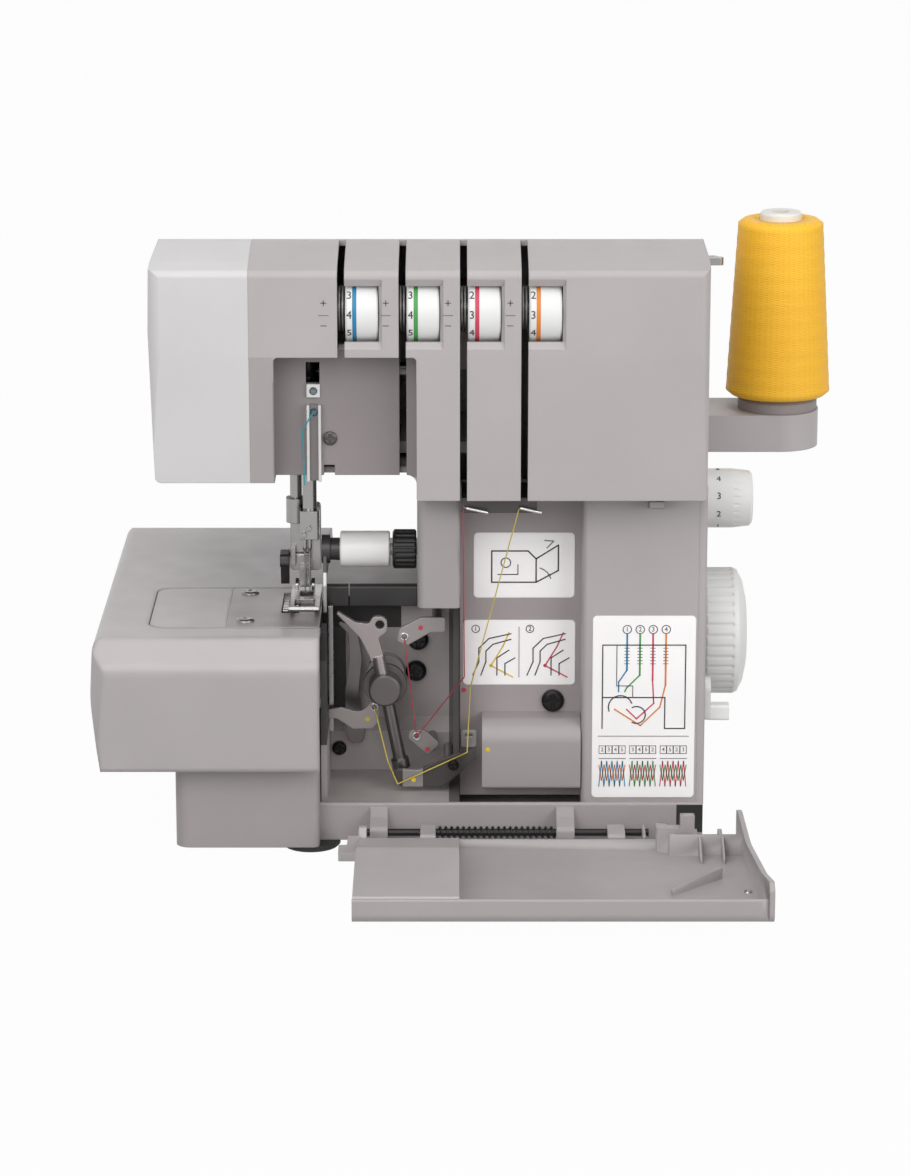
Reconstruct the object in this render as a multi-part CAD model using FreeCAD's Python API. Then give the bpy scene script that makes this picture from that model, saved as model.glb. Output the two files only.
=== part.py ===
import FreeCAD, Part

import math
import os

# Driving dimensions in millimetres. X runs to the right, Y away from the user, Z up from the table.
# X = 0 is near the middle of the front, Y = 0 is the front of the head.
WALL = 3.0
SKIN = 2.4
RUN_FIT = 0.05
TIGHT_FIT = 0.02

HEAD_LEFT = -147.0
HEAD_RIGHT = 122.0
HEAD_REAR = 178.0
HEAD_CREST_Y = 45.0
HEAD_CREST_Z = 295.5
HEAD_BROW_Z = 287.6
HEAD_CREASE_Z = 246.0
HEAD_LOW_Z = 175.0
ARM_LOW_Z = 184.0
FACE_SEAM_X = -98.7
THROAT_RIGHT_X = -18.5

RECESS_LEFT_X = -86.9
RECESS_BACK_Y = 19.0

DIAL_PITCH = 29.3
DIAL_COUNT = 4
FIRST_SLOT_X = -56.2
SLOT_WIDTH = 3.4
DIAL_WIDTH = 15.6
DIAL_RADIUS = 16.5
DIAL_Y = 15.5
DIAL_Z = 266.9
WINDOW_WIDTH = 16.4
WINDOW_HEIGHT = 27.0
TENSION_SHAFT_RADIUS = 3.0

BED_Z = 112.0
BED_LEFT = -176.0
BED_RIGHT = -65.5
BED_FRONT = -28.5
BED_REAR = 208.6
BED_LOW_Z = 46.3
FREE_ARM_LEFT = -149.0
FREE_ARM_RIGHT = -66.0
FREE_ARM_FRONT = 1.0
FREE_ARM_REAR = 75.0
FREE_ARM_LOW_Z = 71.0
PLATE_LEFT = -111.5
PLATE_THICK = 2.0
PLATE_SCREW_X = -102.6
PLATE_SCREW_YS = (14.0, 66.0)
FEED_BAR_XS = (-85.0, -80.2)
FEED_BAR_WIDTH = 2.8

BASE_LEFT = -137.0
BASE_BLOCK_RIGHT = -66.5
BASE_FRONT = -10.0
BASE_LIP_Y = 2.0
BASE_LIP_Z = 22.0
BASE_LOW_Z = 3.0
BASE_BLOCK_Z = 46.0
BASE_TOP_Z = 12.5
FOOT_RADIUS = 14.5
FOOT_SPOTS = ((-71.0, 5.0), (-118.0, 158.0), (100.0, 22.0), (100.0, 158.0))

PANEL_RIGHT = 120.0
PANEL_RIGHT_Y = 28.0
PANEL_STEP_X = 62.7
PANEL_MID_Y = 45.0
COLUMN_RIGHT_X = 2.4
COLUMN_FRONT_Y = 18.0
COLUMN_LOW_Z = 117.0
SIDE_RIGHT = 124.0
REAR_COVER_Y = 174.0

BAY_LEFT = -66.0
BAY_BACK_Y = 70.0
BAY_FLOOR_Z = 20.0
CASTING_LOW_Z = 12.1

HINGE_Y = -8.0
HINGE_Z = 10.0
HINGE_ROD_RADIUS = 2.0
COVER_LEFT = -47.0
COVER_SPLIT_X = 2.0
COVER_RIGHT = 145.4
COVER_FRONT_Y = -160.0
COVER_REAR_Y = -14.5
COVER_REAR_Z = 5.0
COVER_FRONT_Z = 16.9
COVER_RIM_HEIGHT = 11.5
COVER_LUGS = ((-17.0, -9.5), (74.5, 83.0), (91.5, 93.0))
BASE_BRACKETS = ((-41.7, -33.0), (49.7, 58.6))
SPRING_LEFT = -9.2
SPRING_RIGHT = 49.4
SPRING_TURNS = 20
SPRING_COIL_RADIUS = 2.75
SPRING_WIRE_RADIUS = 0.55

NEEDLE_X = -72.0
NEEDLE_Y = 52.0
NEEDLE_BAR_RADIUS = 3.5
NEEDLE_XS = (-74.6, -72.2)
NEEDLE_TIP_Z = 116.2
COLLAR_Z = 221.0
PRESSER_X = -79.0
PRESSER_Y = 60.0
PRESSER_BAR_RADIUS = 3.0
ARM_SHAFT_Y = 88.0
ARM_SHAFT_RADIUS = 5.0
FOOT_PIN_Z = 119.0
RELEASE_Y = 61.5
RELEASE_Z = 133.0
LIFTER_Y = 130.0
LIFTER_Z = 203.0

KNIFE_Y = 55.0
KNIFE_Z = 137.7
KNIFE_SHAFT_RADIUS = 3.0

BOSS_X = -34.8
BOSS_Z = 71.0
BOSS_RADIUS = 8.0
LOOPER_Y = 36.0
LOOPER_ROD_RADIUS = 3.2
LOOPER_TILT = 11.2
LOWER_LOOPER_X = -50.0
LOWER_LOOPER_Z = 42.0

SHAFT_Y = 90.0
SHAFT_Z = 86.0
SHAFT_RADIUS = 5.0
BELT_WHEEL_RADIUS = 26.0
MOTOR_Y = 140.0
MOTOR_Z = 50.0
MOTOR_RADIUS = 28.0
MOTOR_PULLEY_RADIUS = 9.0
BELT_LEFT = 104.0
BELT_WIDTH = 8.0
HANDWHEEL_RADIUS = 32.0
STITCH_DIAL_Y = 100.0
STITCH_DIAL_Z = 152.7
STITCH_DIAL_RADIUS = 15.0
LEVER_Y = 45.0
LEVER_Z = 70.0
SWITCH_Y = 163.0
SWITCH_Z = 71.0
INLET_Y = 163.0
INLET_Z = 29.0

STAND_TOP_Z = 177.5
STAND_LOW_Z = 158.0
STAND_FRONT = 180.0
STAND_REAR = 224.0
STAND_LEFT = -45.0
STAND_RIGHT = 192.0
PIN_Y = 202.0
PIN_XS = (-18.5, 44.5, 107.5, 170.5)
PIN_RADIUS = 4.0
PIN_COLLAR_RADIUS = 5.5
PIN_TOP_Z = 262.0
PAD_RADIUS = 20.8
PAD_TOP_Z = 184.0
CONE_LOW_RADIUS = 27.5
CONE_TOP_RADIUS = 22.2
CONE_TOP_Z = 278.0
POLE_X = 76.0
POLE_Y = 189.5
THREAD_RADIUS = 0.3
RED_ROUTE = ((4.0, 11.0, 168.8), (4.6, 32.0, 78.0), (-19.2, 39.6, 44.6), (-25.2, 36.6, 96.9))
YELLOW_ROUTE = (
    (31.0, 11.0, 168.8),
    (7.6, 40.0, 70.0),
    (6.0, 24.9, 41.0),
    (-28.6, 24.8, 24.6),
    (-33.4, 24.9, 36.5),
    (-40.2, 38.6, 60.0),
)
TEAL_ROUTE = ((-68.3, 14.8, 216.5), (-73.8, 14.9, 207.0), (-73.0, 14.9, 180.0))

AXES = {
    "x": FreeCAD.Vector(1, 0, 0),
    "y": FreeCAD.Vector(0, 1, 0),
    "z": FreeCAD.Vector(0, 0, 1),
}


def point(x, y, z):
    return FreeCAD.Vector(x, y, z)


def block(x0, x1, y0, y1, z0, z1):
    """Box between two corners."""
    return Part.makeBox(x1 - x0, y1 - y0, z1 - z0, point(x0, y0, z0))


def rod(axis, start, radius, length):
    """Cylinder from a start point along an axis."""
    return Part.makeCylinder(radius, length, point(*start), AXES[axis])


def tube(axis, start, outer, inner, length):
    """Hollow cylinder."""
    return rod(axis, start, outer, length).cut(rod(axis, start, inner, length))


def fuse(*shapes):
    """One solid out of overlapping or touching shapes."""
    return shapes[0].multiFuse(list(shapes[1:])).removeSplitter()


def cut(shape, *tools):
    """A shape less all the tools."""
    return shape.cut(list(tools)).removeSplitter()


def group(*shapes):
    """Separate solids that share one node."""
    return Part.makeCompound(list(shapes))


def lay(plane, pair, depth):
    """A 2D point on one of the three planes, at a depth along its normal."""
    if plane == "yz":
        return point(depth, pair[0], pair[1])
    if plane == "xz":
        return point(pair[0], depth, pair[1])
    return point(pair[0], pair[1], depth)


def outline(points, radii, plane, depth):
    """Closed wire through the points, each corner rounded by its radius."""
    corners = [lay(plane, pair, depth) for pair in points]
    count = len(corners)
    if not isinstance(radii, (list, tuple)):
        radii = [radii] * count
    bends = []
    for i, corner in enumerate(corners):
        before = (corners[i - 1] - corner).normalize()
        after = (corners[(i + 1) % count] - corner).normalize()
        if radii[i] == 0:
            bends.append((corner, None, corner))
            continue
        half = before.getAngle(after) / 2
        reach = radii[i] / math.tan(half)
        inward = (before + after).normalize()
        middle = corner + inward * (radii[i] / math.sin(half) - radii[i])
        bends.append((corner + before * reach, middle, corner + after * reach))
    edges = []
    for i, (start, middle, stop) in enumerate(bends):
        if middle is not None:
            edges.append(Part.Arc(start, middle, stop).toShape())
        following = bends[(i + 1) % count][0]
        if (stop - following).Length > 1e-6:
            edges.append(Part.makeLine(stop, following))
    return Part.Wire(edges)


def prism(points, plane, low, high, radii=0):
    """Rounded outline on a plane, drawn out from low to high along the plane's normal."""
    normal = {"yz": "x", "xz": "y", "xy": "z"}[plane]
    face = Part.Face(outline(points, radii, plane, low))
    return face.extrude(AXES[normal] * (high - low))


def turned(axis, start, steps):
    """Solid of revolution about an axis: steps are (distance along the axis, radius)."""
    first = steps[0][0]
    last = steps[-1][0]
    profile = [point(0, 0, first)] + [point(r, 0, d) for d, r in steps] + [point(0, 0, last)]
    face = Part.Face(Part.makePolygon(profile + [profile[0]]))
    solid = face.revolve(point(0, 0, 0), AXES["z"], 360)
    turn = FreeCAD.Rotation(AXES["z"], AXES[axis])
    solid.Placement = FreeCAD.Placement(point(*start), turn)
    return solid


def arc_middle(start, heading, stop):
    """Middle of the arc that leaves the start along a heading and ends at the stop."""
    chord = stop - start
    lean = heading.getAngle(chord)
    away = heading - chord * (heading.dot(chord) / chord.dot(chord))
    sagitta = chord.Length / 2 * math.tan(lean / 2)
    return start + chord * 0.5 + away.normalize() * sagitta


def biarc(start, heading, stop, ending):
    """Two arcs that join smoothly, from a start and its heading to a stop and its heading."""
    run = stop - start
    both = heading + ending
    slack = 2 * (1 - heading.dot(ending))
    lead = (math.sqrt(run.dot(both) ** 2 + slack * run.dot(run)) - run.dot(both)) / slack
    joint = (start + heading * lead + stop - ending * lead) * 0.5
    first = Part.Arc(start, arc_middle(start, heading, joint), joint)
    second = Part.Arc(joint, arc_middle(stop, ending * -1, joint), stop)
    return [first.toShape(), second.toShape()]


def least_gap(points, apart, wire_radius):
    """Least gap of a wire to itself, between centre-line points at least so many apart."""
    nearest = min(
        (later - earlier).Length
        for index, earlier in enumerate(points)
        for later in points[index + apart:]
    )
    return nearest - 2 * wire_radius


def helix_tube(axis, start, coil_radius, wire_radius, length, turns):
    """Coil spring of one unbroken wire, swept along biarcs of half a turn each."""
    pitch = length / turns

    def on_helix(half):
        angle = math.pi * half
        return point(coil_radius * math.cos(angle), coil_radius * math.sin(angle), pitch * half / 2)

    def heading(half):
        angle = math.pi * half
        across = point(-math.sin(angle), math.cos(angle), 0) * coil_radius
        return (across + point(0, 0, pitch / (2 * math.pi))).normalize()

    edges = []
    for half in range(2 * turns):
        edges.extend(biarc(on_helix(half), heading(half), on_helix(half + 1), heading(half + 1)))
    section = Part.Wire(Part.makeCircle(wire_radius, on_helix(0), heading(0)))
    solid = Part.Wire(edges).makePipeShell([section], True, False)
    points_per_arc = 8
    centre_line = []
    for edge in edges:
        centre_line.extend(edge.discretize(points_per_arc + 1)[:-1])
    gap = least_gap(centre_line, 2 * points_per_arc, wire_radius)
    print("spring: least gap to itself %.2f mm over %d curls" % (gap, turns))
    turn = FreeCAD.Rotation(AXES["z"], AXES[axis])
    solid.Placement = FreeCAD.Placement(point(*start), turn)
    return solid


def rotated(shape, centre, axis, degrees):
    """Copy of a shape turned about an axis through a centre."""
    copy = shape.copy()
    copy.rotate(point(*centre), AXES[axis], degrees)
    return copy


def slot_x(number):
    """Left edge of a thread slot, counted from 0 at the left."""
    return FIRST_SLOT_X + number * DIAL_PITCH


def window_x(number):
    """Left edge of the dial window beside a slot."""
    return slot_x(number) + SLOT_WIDTH


def head_form(inset):
    """The head as a side profile, a front outline and a plan that are cut by each other."""
    side = [
        (3.0 + inset, HEAD_LOW_Z - 20),
        (inset, HEAD_CREASE_Z),
        (inset, HEAD_BROW_Z - inset),
        (12.0 + 0.5 * inset, HEAD_BROW_Z + 3.2 - inset),
        (HEAD_CREST_Y, HEAD_CREST_Z - inset),
        (HEAD_REAR - inset, HEAD_CREST_Z - 24.0 - inset),
        (HEAD_REAR - inset, HEAD_LOW_Z - 20),
    ]
    front = [
        (HEAD_LEFT + 2.5 + inset, ARM_LOW_Z + inset),
        (HEAD_LEFT + inset, HEAD_CREASE_Z + 12),
        (HEAD_LEFT + 1.0 + inset, HEAD_CREST_Z + 4 - inset),
        (HEAD_RIGHT - inset, HEAD_CREST_Z + 4 - inset),
        (HEAD_RIGHT - inset, HEAD_LOW_Z + inset),
        (THROAT_RIGHT_X + inset, HEAD_LOW_Z + inset),
        (THROAT_RIGHT_X + inset, ARM_LOW_Z + inset),
    ]
    plan = [
        (HEAD_LEFT - 1 + inset, inset - 0.1),
        (HEAD_RIGHT - inset, inset - 0.1),
        (HEAD_RIGHT - inset, HEAD_REAR - inset),
        (HEAD_LEFT - 1 + inset, HEAD_REAR - inset),
    ]
    side_solid = prism(side, "yz", HEAD_LEFT - 5, HEAD_RIGHT + 5, [0, 0, 4, 6, 30, 14, 0])
    front_solid = prism(front, "xz", -5, HEAD_REAR + 5, [3, 60, 12, 10, 2, 1, 5])
    plan_solid = prism(plan, "xy", HEAD_LOW_Z - 5, HEAD_CREST_Z + 5, [8, 5, 12, 20])
    return side_solid.common(front_solid).common(plan_solid)


def head_shell():
    """Hollow head, open below on the right over the column, with the needle recess walled in."""
    outer = head_form(0)
    well = block(THROAT_RIGHT_X + WALL, HEAD_RIGHT - WALL, 6, HEAD_REAR - WALL, 160, HEAD_LOW_Z + 5)
    shell = outer.cut([head_form(WALL), well])
    walls = block(
        RECESS_LEFT_X - WALL,
        THROAT_RIGHT_X + WALL,
        0,
        RECESS_BACK_Y + WALL,
        ARM_LOW_Z,
        HEAD_CREASE_Z + WALL,
    ).common(outer)
    recess = prism(
        [
            (RECESS_LEFT_X, ARM_LOW_Z - 10),
            (RECESS_LEFT_X, HEAD_CREASE_Z),
            (THROAT_RIGHT_X, HEAD_CREASE_Z),
            (THROAT_RIGHT_X, ARM_LOW_Z - 10),
        ],
        "xz",
        -5,
        RECESS_BACK_Y,
        [0, 2, 2, 0],
    )
    return shell.fuse(walls).cut(recess)


def head_openings():
    """Thread slots, dial windows with their sloped surrounds, vents, and the holes in the arm's floor."""
    tools = []
    lows = (HEAD_CREASE_Z - 1, ARM_LOW_Z - 5, HEAD_LOW_Z - 5, HEAD_LOW_Z - 5)
    for number in range(DIAL_COUNT):
        x = slot_x(number)
        depth = RECESS_BACK_Y + 5 if number == 1 else 18
        tools.append(block(x, x + SLOT_WIDTH, -2, depth, lows[number], HEAD_CREST_Z + 5))
        tools.append(block(x, x + SLOT_WIDTH, 10, HEAD_CREST_Y, HEAD_BROW_Z - 12, HEAD_CREST_Z + 5))
        left = window_x(number)
        half = WINDOW_HEIGHT / 2
        tools.append(block(left - 0.1, left + WINDOW_WIDTH, -2, 5, DIAL_Z - half, DIAL_Z + half))
        slope = [
            (-0.6, DIAL_Z - half - 4.4),
            (1.8, DIAL_Z - half - 0.2),
            (1.8, DIAL_Z + half + 0.2),
            (-0.6, DIAL_Z + half + 4.6),
        ]
        tools.append(prism(slope, "yz", left - 0.2, left + WINDOW_WIDTH + 1.4))
    for number in range(3):
        vent = block(-0.9, 0.9, -9, 9, 280, HEAD_CREST_Z + 5)
        vent.rotate(point(0, 0, 0), AXES["z"], -22)
        vent.translate(point(46 + 4.4 * number, 62, 0))
        tools.append(vent)
    tools.append(block(-85, -66, 44, 67, ARM_LOW_Z - 5, ARM_LOW_Z + 8))
    tools.append(block(-67, -53, 122, 164, ARM_LOW_Z - 5, ARM_LOW_Z + 8))
    tools.append(block(-72.1, -65.5, 15, RECESS_BACK_Y + 5, 229.5, 240))
    tools.append(block(-63.7, -58.4, 15, RECESS_BACK_Y + 5, 180, 189))
    return tools


def head_parts():
    """Face cover on the left of the seam and head cover on the right of it."""
    shell = head_shell().cut(head_openings())
    left_half = block(HEAD_LEFT - 10, FACE_SEAM_X, -10, HEAD_REAR + 10, 100, 310)
    return {
        "face_cover": shell.common(left_half).removeSplitter(),
        "head_cover": shell.cut(left_half).removeSplitter(),
    }


def front_panel():
    """Bent panel: throat side of the column, column front, threading recess and right panel."""
    walk = [
        (THROAT_RIGHT_X, REAR_COVER_Y),
        (THROAT_RIGHT_X, COLUMN_FRONT_Y),
        (COLUMN_RIGHT_X, COLUMN_FRONT_Y),
        (COLUMN_RIGHT_X, PANEL_MID_Y),
        (PANEL_STEP_X, PANEL_MID_Y),
        (PANEL_STEP_X, PANEL_RIGHT_Y),
        (PANEL_RIGHT, PANEL_RIGHT_Y),
        (PANEL_RIGHT, PANEL_RIGHT_Y + WALL),
        (PANEL_STEP_X + WALL, PANEL_RIGHT_Y + WALL),
        (PANEL_STEP_X + WALL, PANEL_MID_Y + WALL),
        (COLUMN_RIGHT_X - WALL, PANEL_MID_Y + WALL),
        (COLUMN_RIGHT_X - WALL, COLUMN_FRONT_Y + WALL),
        (THROAT_RIGHT_X + WALL, COLUMN_FRONT_Y + WALL),
        (THROAT_RIGHT_X + WALL, REAR_COVER_Y),
    ]
    radii = [0, 4, 2, 0, 0, 3, 0, 0, 0.5, 3, 3, 0.5, 1, 0]
    sheet = prism(walk, "xy", BASE_TOP_Z, HEAD_LOW_Z, radii)
    bay = block(-30, COLUMN_RIGHT_X - 0.01, 0, KNIFE_Y + 2, 0, COLUMN_LOW_Z)
    deck = block(-30, -5, KNIFE_Y, REAR_COVER_Y + 5, 0, BED_Z)
    sill = block(
        THROAT_RIGHT_X + 1, COLUMN_RIGHT_X - 0.5, COLUMN_FRONT_Y + 1, 57, COLUMN_LOW_Z, COLUMN_LOW_Z + WALL
    )
    catch = prism(
        [(17, 168), (17, 171), (PANEL_RIGHT_Y, 171), (PANEL_RIGHT_Y, 165)], "yz", 94.8, 102.0
    )
    shaft_hole = rod("x", (THROAT_RIGHT_X - 2, KNIFE_Y, KNIFE_Z), KNIFE_SHAFT_RADIUS + 0.4, 8)
    return fuse(sheet.cut([bay, deck]), sill, catch).cut(shaft_hole)


def looper_shaft_cover():
    """Rounded box under the threading recess, hollow towards the panel."""
    side = [(28.0, 21.0), (28.0, 54.4), (PANEL_MID_Y, 56.2), (PANEL_MID_Y, 21.0)]
    inside = [(30.5, 20.0), (30.5, 51.6), (PANEL_MID_Y + 1, 53.4), (PANEL_MID_Y + 1, 20.0)]
    outer = prism(side, "yz", 13.4, PANEL_STEP_X - 0.2, [1.5, 11, 0, 0])
    hollow = prism(inside, "yz", 15.9, PANEL_STEP_X - 2.7, [0, 8.5, 0, 0])
    return outer.cut(hollow)


def right_side_cover():
    """Side plate with rounded upright edges and holes for the controls."""
    plan = [
        (PANEL_RIGHT, PANEL_RIGHT_Y),
        (SIDE_RIGHT, PANEL_RIGHT_Y),
        (SIDE_RIGHT, HEAD_REAR),
        (PANEL_RIGHT, HEAD_REAR),
    ]
    plate = prism(plan, "xy", BASE_TOP_Z, HEAD_LOW_Z, [0, 2.5, 3.5, 0])
    start = PANEL_RIGHT - 1
    tools = [
        rod("x", (start, SHAFT_Y, SHAFT_Z), 8.6, 8),
        rod("x", (start, STITCH_DIAL_Y, STITCH_DIAL_Z), 3 + RUN_FIT, 8),
        rod("x", (start, LEVER_Y, LEVER_Z), 2.5 + RUN_FIT, 8),
        block(start, SIDE_RIGHT + 1, SWITCH_Y - 7.8, SWITCH_Y + 7.8, SWITCH_Z - 9.6, SWITCH_Z + 9.6),
        rod("y", (122, SWITCH_Y - 10.5, SWITCH_Z), 1.5 + RUN_FIT, 21),
        block(start, SIDE_RIGHT + 1, INLET_Y - 9, INLET_Y + 9, INLET_Z - 9, INLET_Z + 9),
        tube("x", (SIDE_RIGHT - 1, SHAFT_Y, SHAFT_Z), 36.5, 34.5, 2),
    ]
    return plate.cut(tools)


def rear_cover():
    """Back plate of the column and of the bed, with a field of cooling slots."""
    tall = block(THROAT_RIGHT_X, PANEL_RIGHT, REAR_COVER_Y, HEAD_REAR, BASE_TOP_Z, HEAD_LOW_Z)
    low = block(BED_RIGHT + 0.4, THROAT_RIGHT_X, REAR_COVER_Y, HEAD_REAR, BASE_TOP_Z, BED_Z)
    slots = []
    for row in range(6):
        z = 34 + 7 * row
        slots.append(block(30, 90, REAR_COVER_Y - 1, HEAD_REAR + 1, z, z + 2.5))
    return cut(fuse(tall, low), *slots)


def base_pan():
    """Pan with a raised block on the left, a front lip, hinge brackets and bosses for the casting."""
    block_plan = [
        (BASE_LEFT, BASE_FRONT),
        (BASE_BLOCK_RIGHT, BASE_FRONT),
        (BASE_BLOCK_RIGHT, HEAD_REAR),
        (BASE_LEFT, HEAD_REAR),
    ]
    raised = prism(block_plan, "xy", BASE_LOW_Z, BASE_BLOCK_Z, [7, 3, 0, 12])
    flat = block(BASE_BLOCK_RIGHT - 1, HEAD_RIGHT, BASE_LIP_Y, HEAD_REAR, BASE_LOW_Z, BASE_TOP_Z)
    lip_side = [
        (BASE_LIP_Y, BASE_LOW_Z),
        (BASE_LIP_Y, BASE_LIP_Z),
        (BASE_LIP_Y + WALL, BASE_LIP_Z),
        (BASE_LIP_Y + WALL, BASE_LOW_Z),
    ]
    lip = prism(lip_side, "yz", BASE_BLOCK_RIGHT - 1, HEAD_RIGHT, [0, 1.2, 1.2, 0])
    inner_raised = block(
        BASE_LEFT + WALL,
        BASE_BLOCK_RIGHT - WALL,
        BASE_FRONT + WALL,
        HEAD_REAR - WALL,
        6,
        BASE_BLOCK_Z - WALL,
    )
    inner_flat = block(BASE_BLOCK_RIGHT, HEAD_RIGHT - WALL, BASE_LIP_Y + WALL, HEAD_REAR - WALL, 6, 30)
    pan = fuse(raised, flat, lip).cut([inner_raised, inner_flat])
    bosses = [
        rod("z", (x, y, 5), 6, CASTING_LOW_Z - 5)
        for x, y in ((-50, 20), (-50, 150), (105, 40), (105, 160))
    ]
    bracket_side = [
        (BASE_LIP_Y + 1, BASE_LOW_Z),
        (BASE_LIP_Y + 1, 20.5),
        (-3.5, 16.5),
        (-12.5, 13.5),
        (-12.5, 6.0),
        (-6, BASE_LOW_Z),
    ]
    brackets = [
        prism(bracket_side, "yz", x0, x1, [0, 0, 2, 3, 3, 0]) for x0, x1 in BASE_BRACKETS
    ]
    pan = fuse(pan, *bosses, *brackets)
    pin_hole = rod("x", (-60, HINGE_Y, HINGE_Z), HINGE_ROD_RADIUS + RUN_FIT, 180)
    return pan.cut(pin_hole)


def rubber_feet():
    """Round feet with a chamfered sole."""
    feet = [
        turned("z", (x, y, 0), [(0, FOOT_RADIUS - 1), (1, FOOT_RADIUS), (BASE_LOW_Z, FOOT_RADIUS)])
        for x, y in FOOT_SPOTS
    ]
    return group(*feet)


def bored(shape, axis, start, radius, length):
    """A shape less one round hole."""
    return shape.cut(rod(axis, start, radius, length))


def casting_bay():
    """Floor, left wall with the knife window, back wall and deck of the looper bay."""
    left = block(BAY_LEFT, BAY_LEFT + WALL, 8, 172, CASTING_LOW_Z, 107.8)
    window = block(BAY_LEFT - 1, BAY_LEFT + WALL + 1, 24, 66, 60, 120)
    floor = fuse(
        block(BAY_LEFT, 2.2, 8, 172, CASTING_LOW_Z, BAY_FLOOR_Z),
        block(2, 118, PANEL_MID_Y + WALL + 1, 172, CASTING_LOW_Z, BAY_FLOOR_Z),
    )
    back = block(BAY_LEFT, 2.2, BAY_BACK_Y, 78, BAY_FLOOR_Z, 107.8)
    right = block(-1, 2.2, PANEL_MID_Y + 0.2, 78, BAY_FLOOR_Z, COLUMN_LOW_Z - 0.2)
    deck = block(BAY_LEFT, -12, 78, 172, 101, 107.8)
    rear = block(BAY_LEFT, -12, 166, 172, BAY_FLOOR_Z, 101)
    ledge = prism([(64, 20), (64, 40), (70, 46), (70, 20)], "yz", BAY_LEFT + 1, 1)
    collar = rod("y", (BOSS_X, 62.5, BOSS_Z), 9.4, 12)
    bearing = rod("y", (LOWER_LOOPER_X, 64, LOWER_LOOPER_Z), 6.5, 10)
    bay = fuse(left.cut(window), floor, back, right, deck, rear, ledge, collar, bearing)
    bay = bored(bay, "y", (BOSS_X, 40, BOSS_Z), 4 + RUN_FIT, 30)
    return bored(bay, "y", (LOWER_LOOPER_X, 60, LOWER_LOOPER_Z), 3 + RUN_FIT, 20)


def casting_arm():
    """Column, arm plate with its ribs, bar guides and the lugs of the foot lifter."""
    column = block(-12, 18, 106, 140, BAY_FLOOR_Z, 246)
    plate = block(-120, 18, 40, 140, 190, 196).cut(block(-67, -53, 121, 141, 189, 197))
    spine = block(-120, -12, 112, 118, 195, 240)
    ribs = [block(x, x + 6, 40, 113, 195, 256) for x in (-98, -50)]
    guide = block(-98, -44, 42, 70, 250, 256)
    pad = block(-12, 12, 40, 107, 232, 264)
    lugs = []
    for x in (-72, -51):
        side = [(121, 195), (121, 205), (LIFTER_Y, 211), (139, 205), (139, 195)]
        lugs.append(prism(side, "yz", x, x + 3, [0, 3, 5, 3, 0]))
    knife_bearing = block(-12, -2, 46, 107, 128, 148)
    arm = fuse(column, plate, spine, *ribs, guide, pad, *lugs, knife_bearing)
    tools = [
        rod("x", (-130, ARM_SHAFT_Y, COLLAR_Z), ARM_SHAFT_RADIUS + RUN_FIT, 110),
        rod("z", (NEEDLE_X, NEEDLE_Y, 180), 5.5, 90),
        rod("z", (PRESSER_X, PRESSER_Y, 180), 4.8, 90),
        rod("x", (-75, LIFTER_Y, LIFTER_Z), 3 + RUN_FIT, 30),
        rod("x", (-20, KNIFE_Y, KNIFE_Z), KNIFE_SHAFT_RADIUS + RUN_FIT, 20),
    ]
    return arm.cut(tools)


def main_casting():
    """The machine's metal frame: bay, column, arm and the main shaft's pedestals."""
    near = block(12, 18, 78, 107, BAY_FLOOR_Z - 1, 110)
    far = prism(
        [(60, 19), (78, 98), (84, 108), (96, 108), (102, 98), (110, 19)], "yz", 96, 102, [0, 0, 6, 6, 0, 0]
    )
    frame = fuse(casting_bay(), casting_arm(), near, far)
    for x in (12, 96):
        frame = bored(frame, "x", (x - 1, SHAFT_Y, SHAFT_Z), 8, 8)
    return frame.removeSplitter()


def bushes():
    """Bronze bushes of the needle bar, the presser bar and the main shaft."""
    rings = []
    for z in (187.5, 248):
        length = 11.5 if z < 200 else 10
        rings.append(tube("z", (NEEDLE_X, NEEDLE_Y, z), 5.5, NEEDLE_BAR_RADIUS + RUN_FIT, length))
        rings.append(tube("z", (PRESSER_X, PRESSER_Y, z), 4.8, PRESSER_BAR_RADIUS + RUN_FIT, length))
    for x in (12, 96):
        rings.append(tube("x", (x, SHAFT_Y, SHAFT_Z), 8, SHAFT_RADIUS + RUN_FIT, 6))
    return group(*rings)


def table_form(inset, low, right):
    """Extension table's outer form: side profile, front outline and plan cut by each other."""
    side = [
        (BED_FRONT + 11.5 + 0.5 * inset, BED_Z - inset),
        (BED_REAR - inset, BED_Z - inset),
        (BED_REAR - 2 - inset, low),
        (BED_FRONT + 4.5 + inset, low),
        (BED_FRONT + inset, BED_Z - 12),
    ]
    front = [
        (BED_LEFT + 4 + inset, low),
        (BED_LEFT - 0.5 + inset, 82),
        (BED_LEFT + 1.5 + inset, BED_Z - inset),
        (right, BED_Z - inset),
        (right, low),
    ]
    plan = [
        (BED_LEFT - 1 + inset, BED_FRONT - 1 + inset),
        (right, BED_FRONT - 1 + inset),
        (right, BED_REAR + 1 - inset),
        (BED_LEFT - 1 + inset, BED_REAR + 1 - inset),
    ]
    side_solid = prism(side, "yz", BED_LEFT - 10, right + 5, [5, 10, 0, 0, 11])
    front_solid = prism(front, "xz", BED_FRONT - 10, BED_REAR + 10, [0, 60, 5, 0, 0])
    plan_solid = prism(plan, "xy", low - 5, BED_Z + 5, [14, 0, 0, 22])
    return side_solid.common(front_solid).common(plan_solid)


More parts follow.
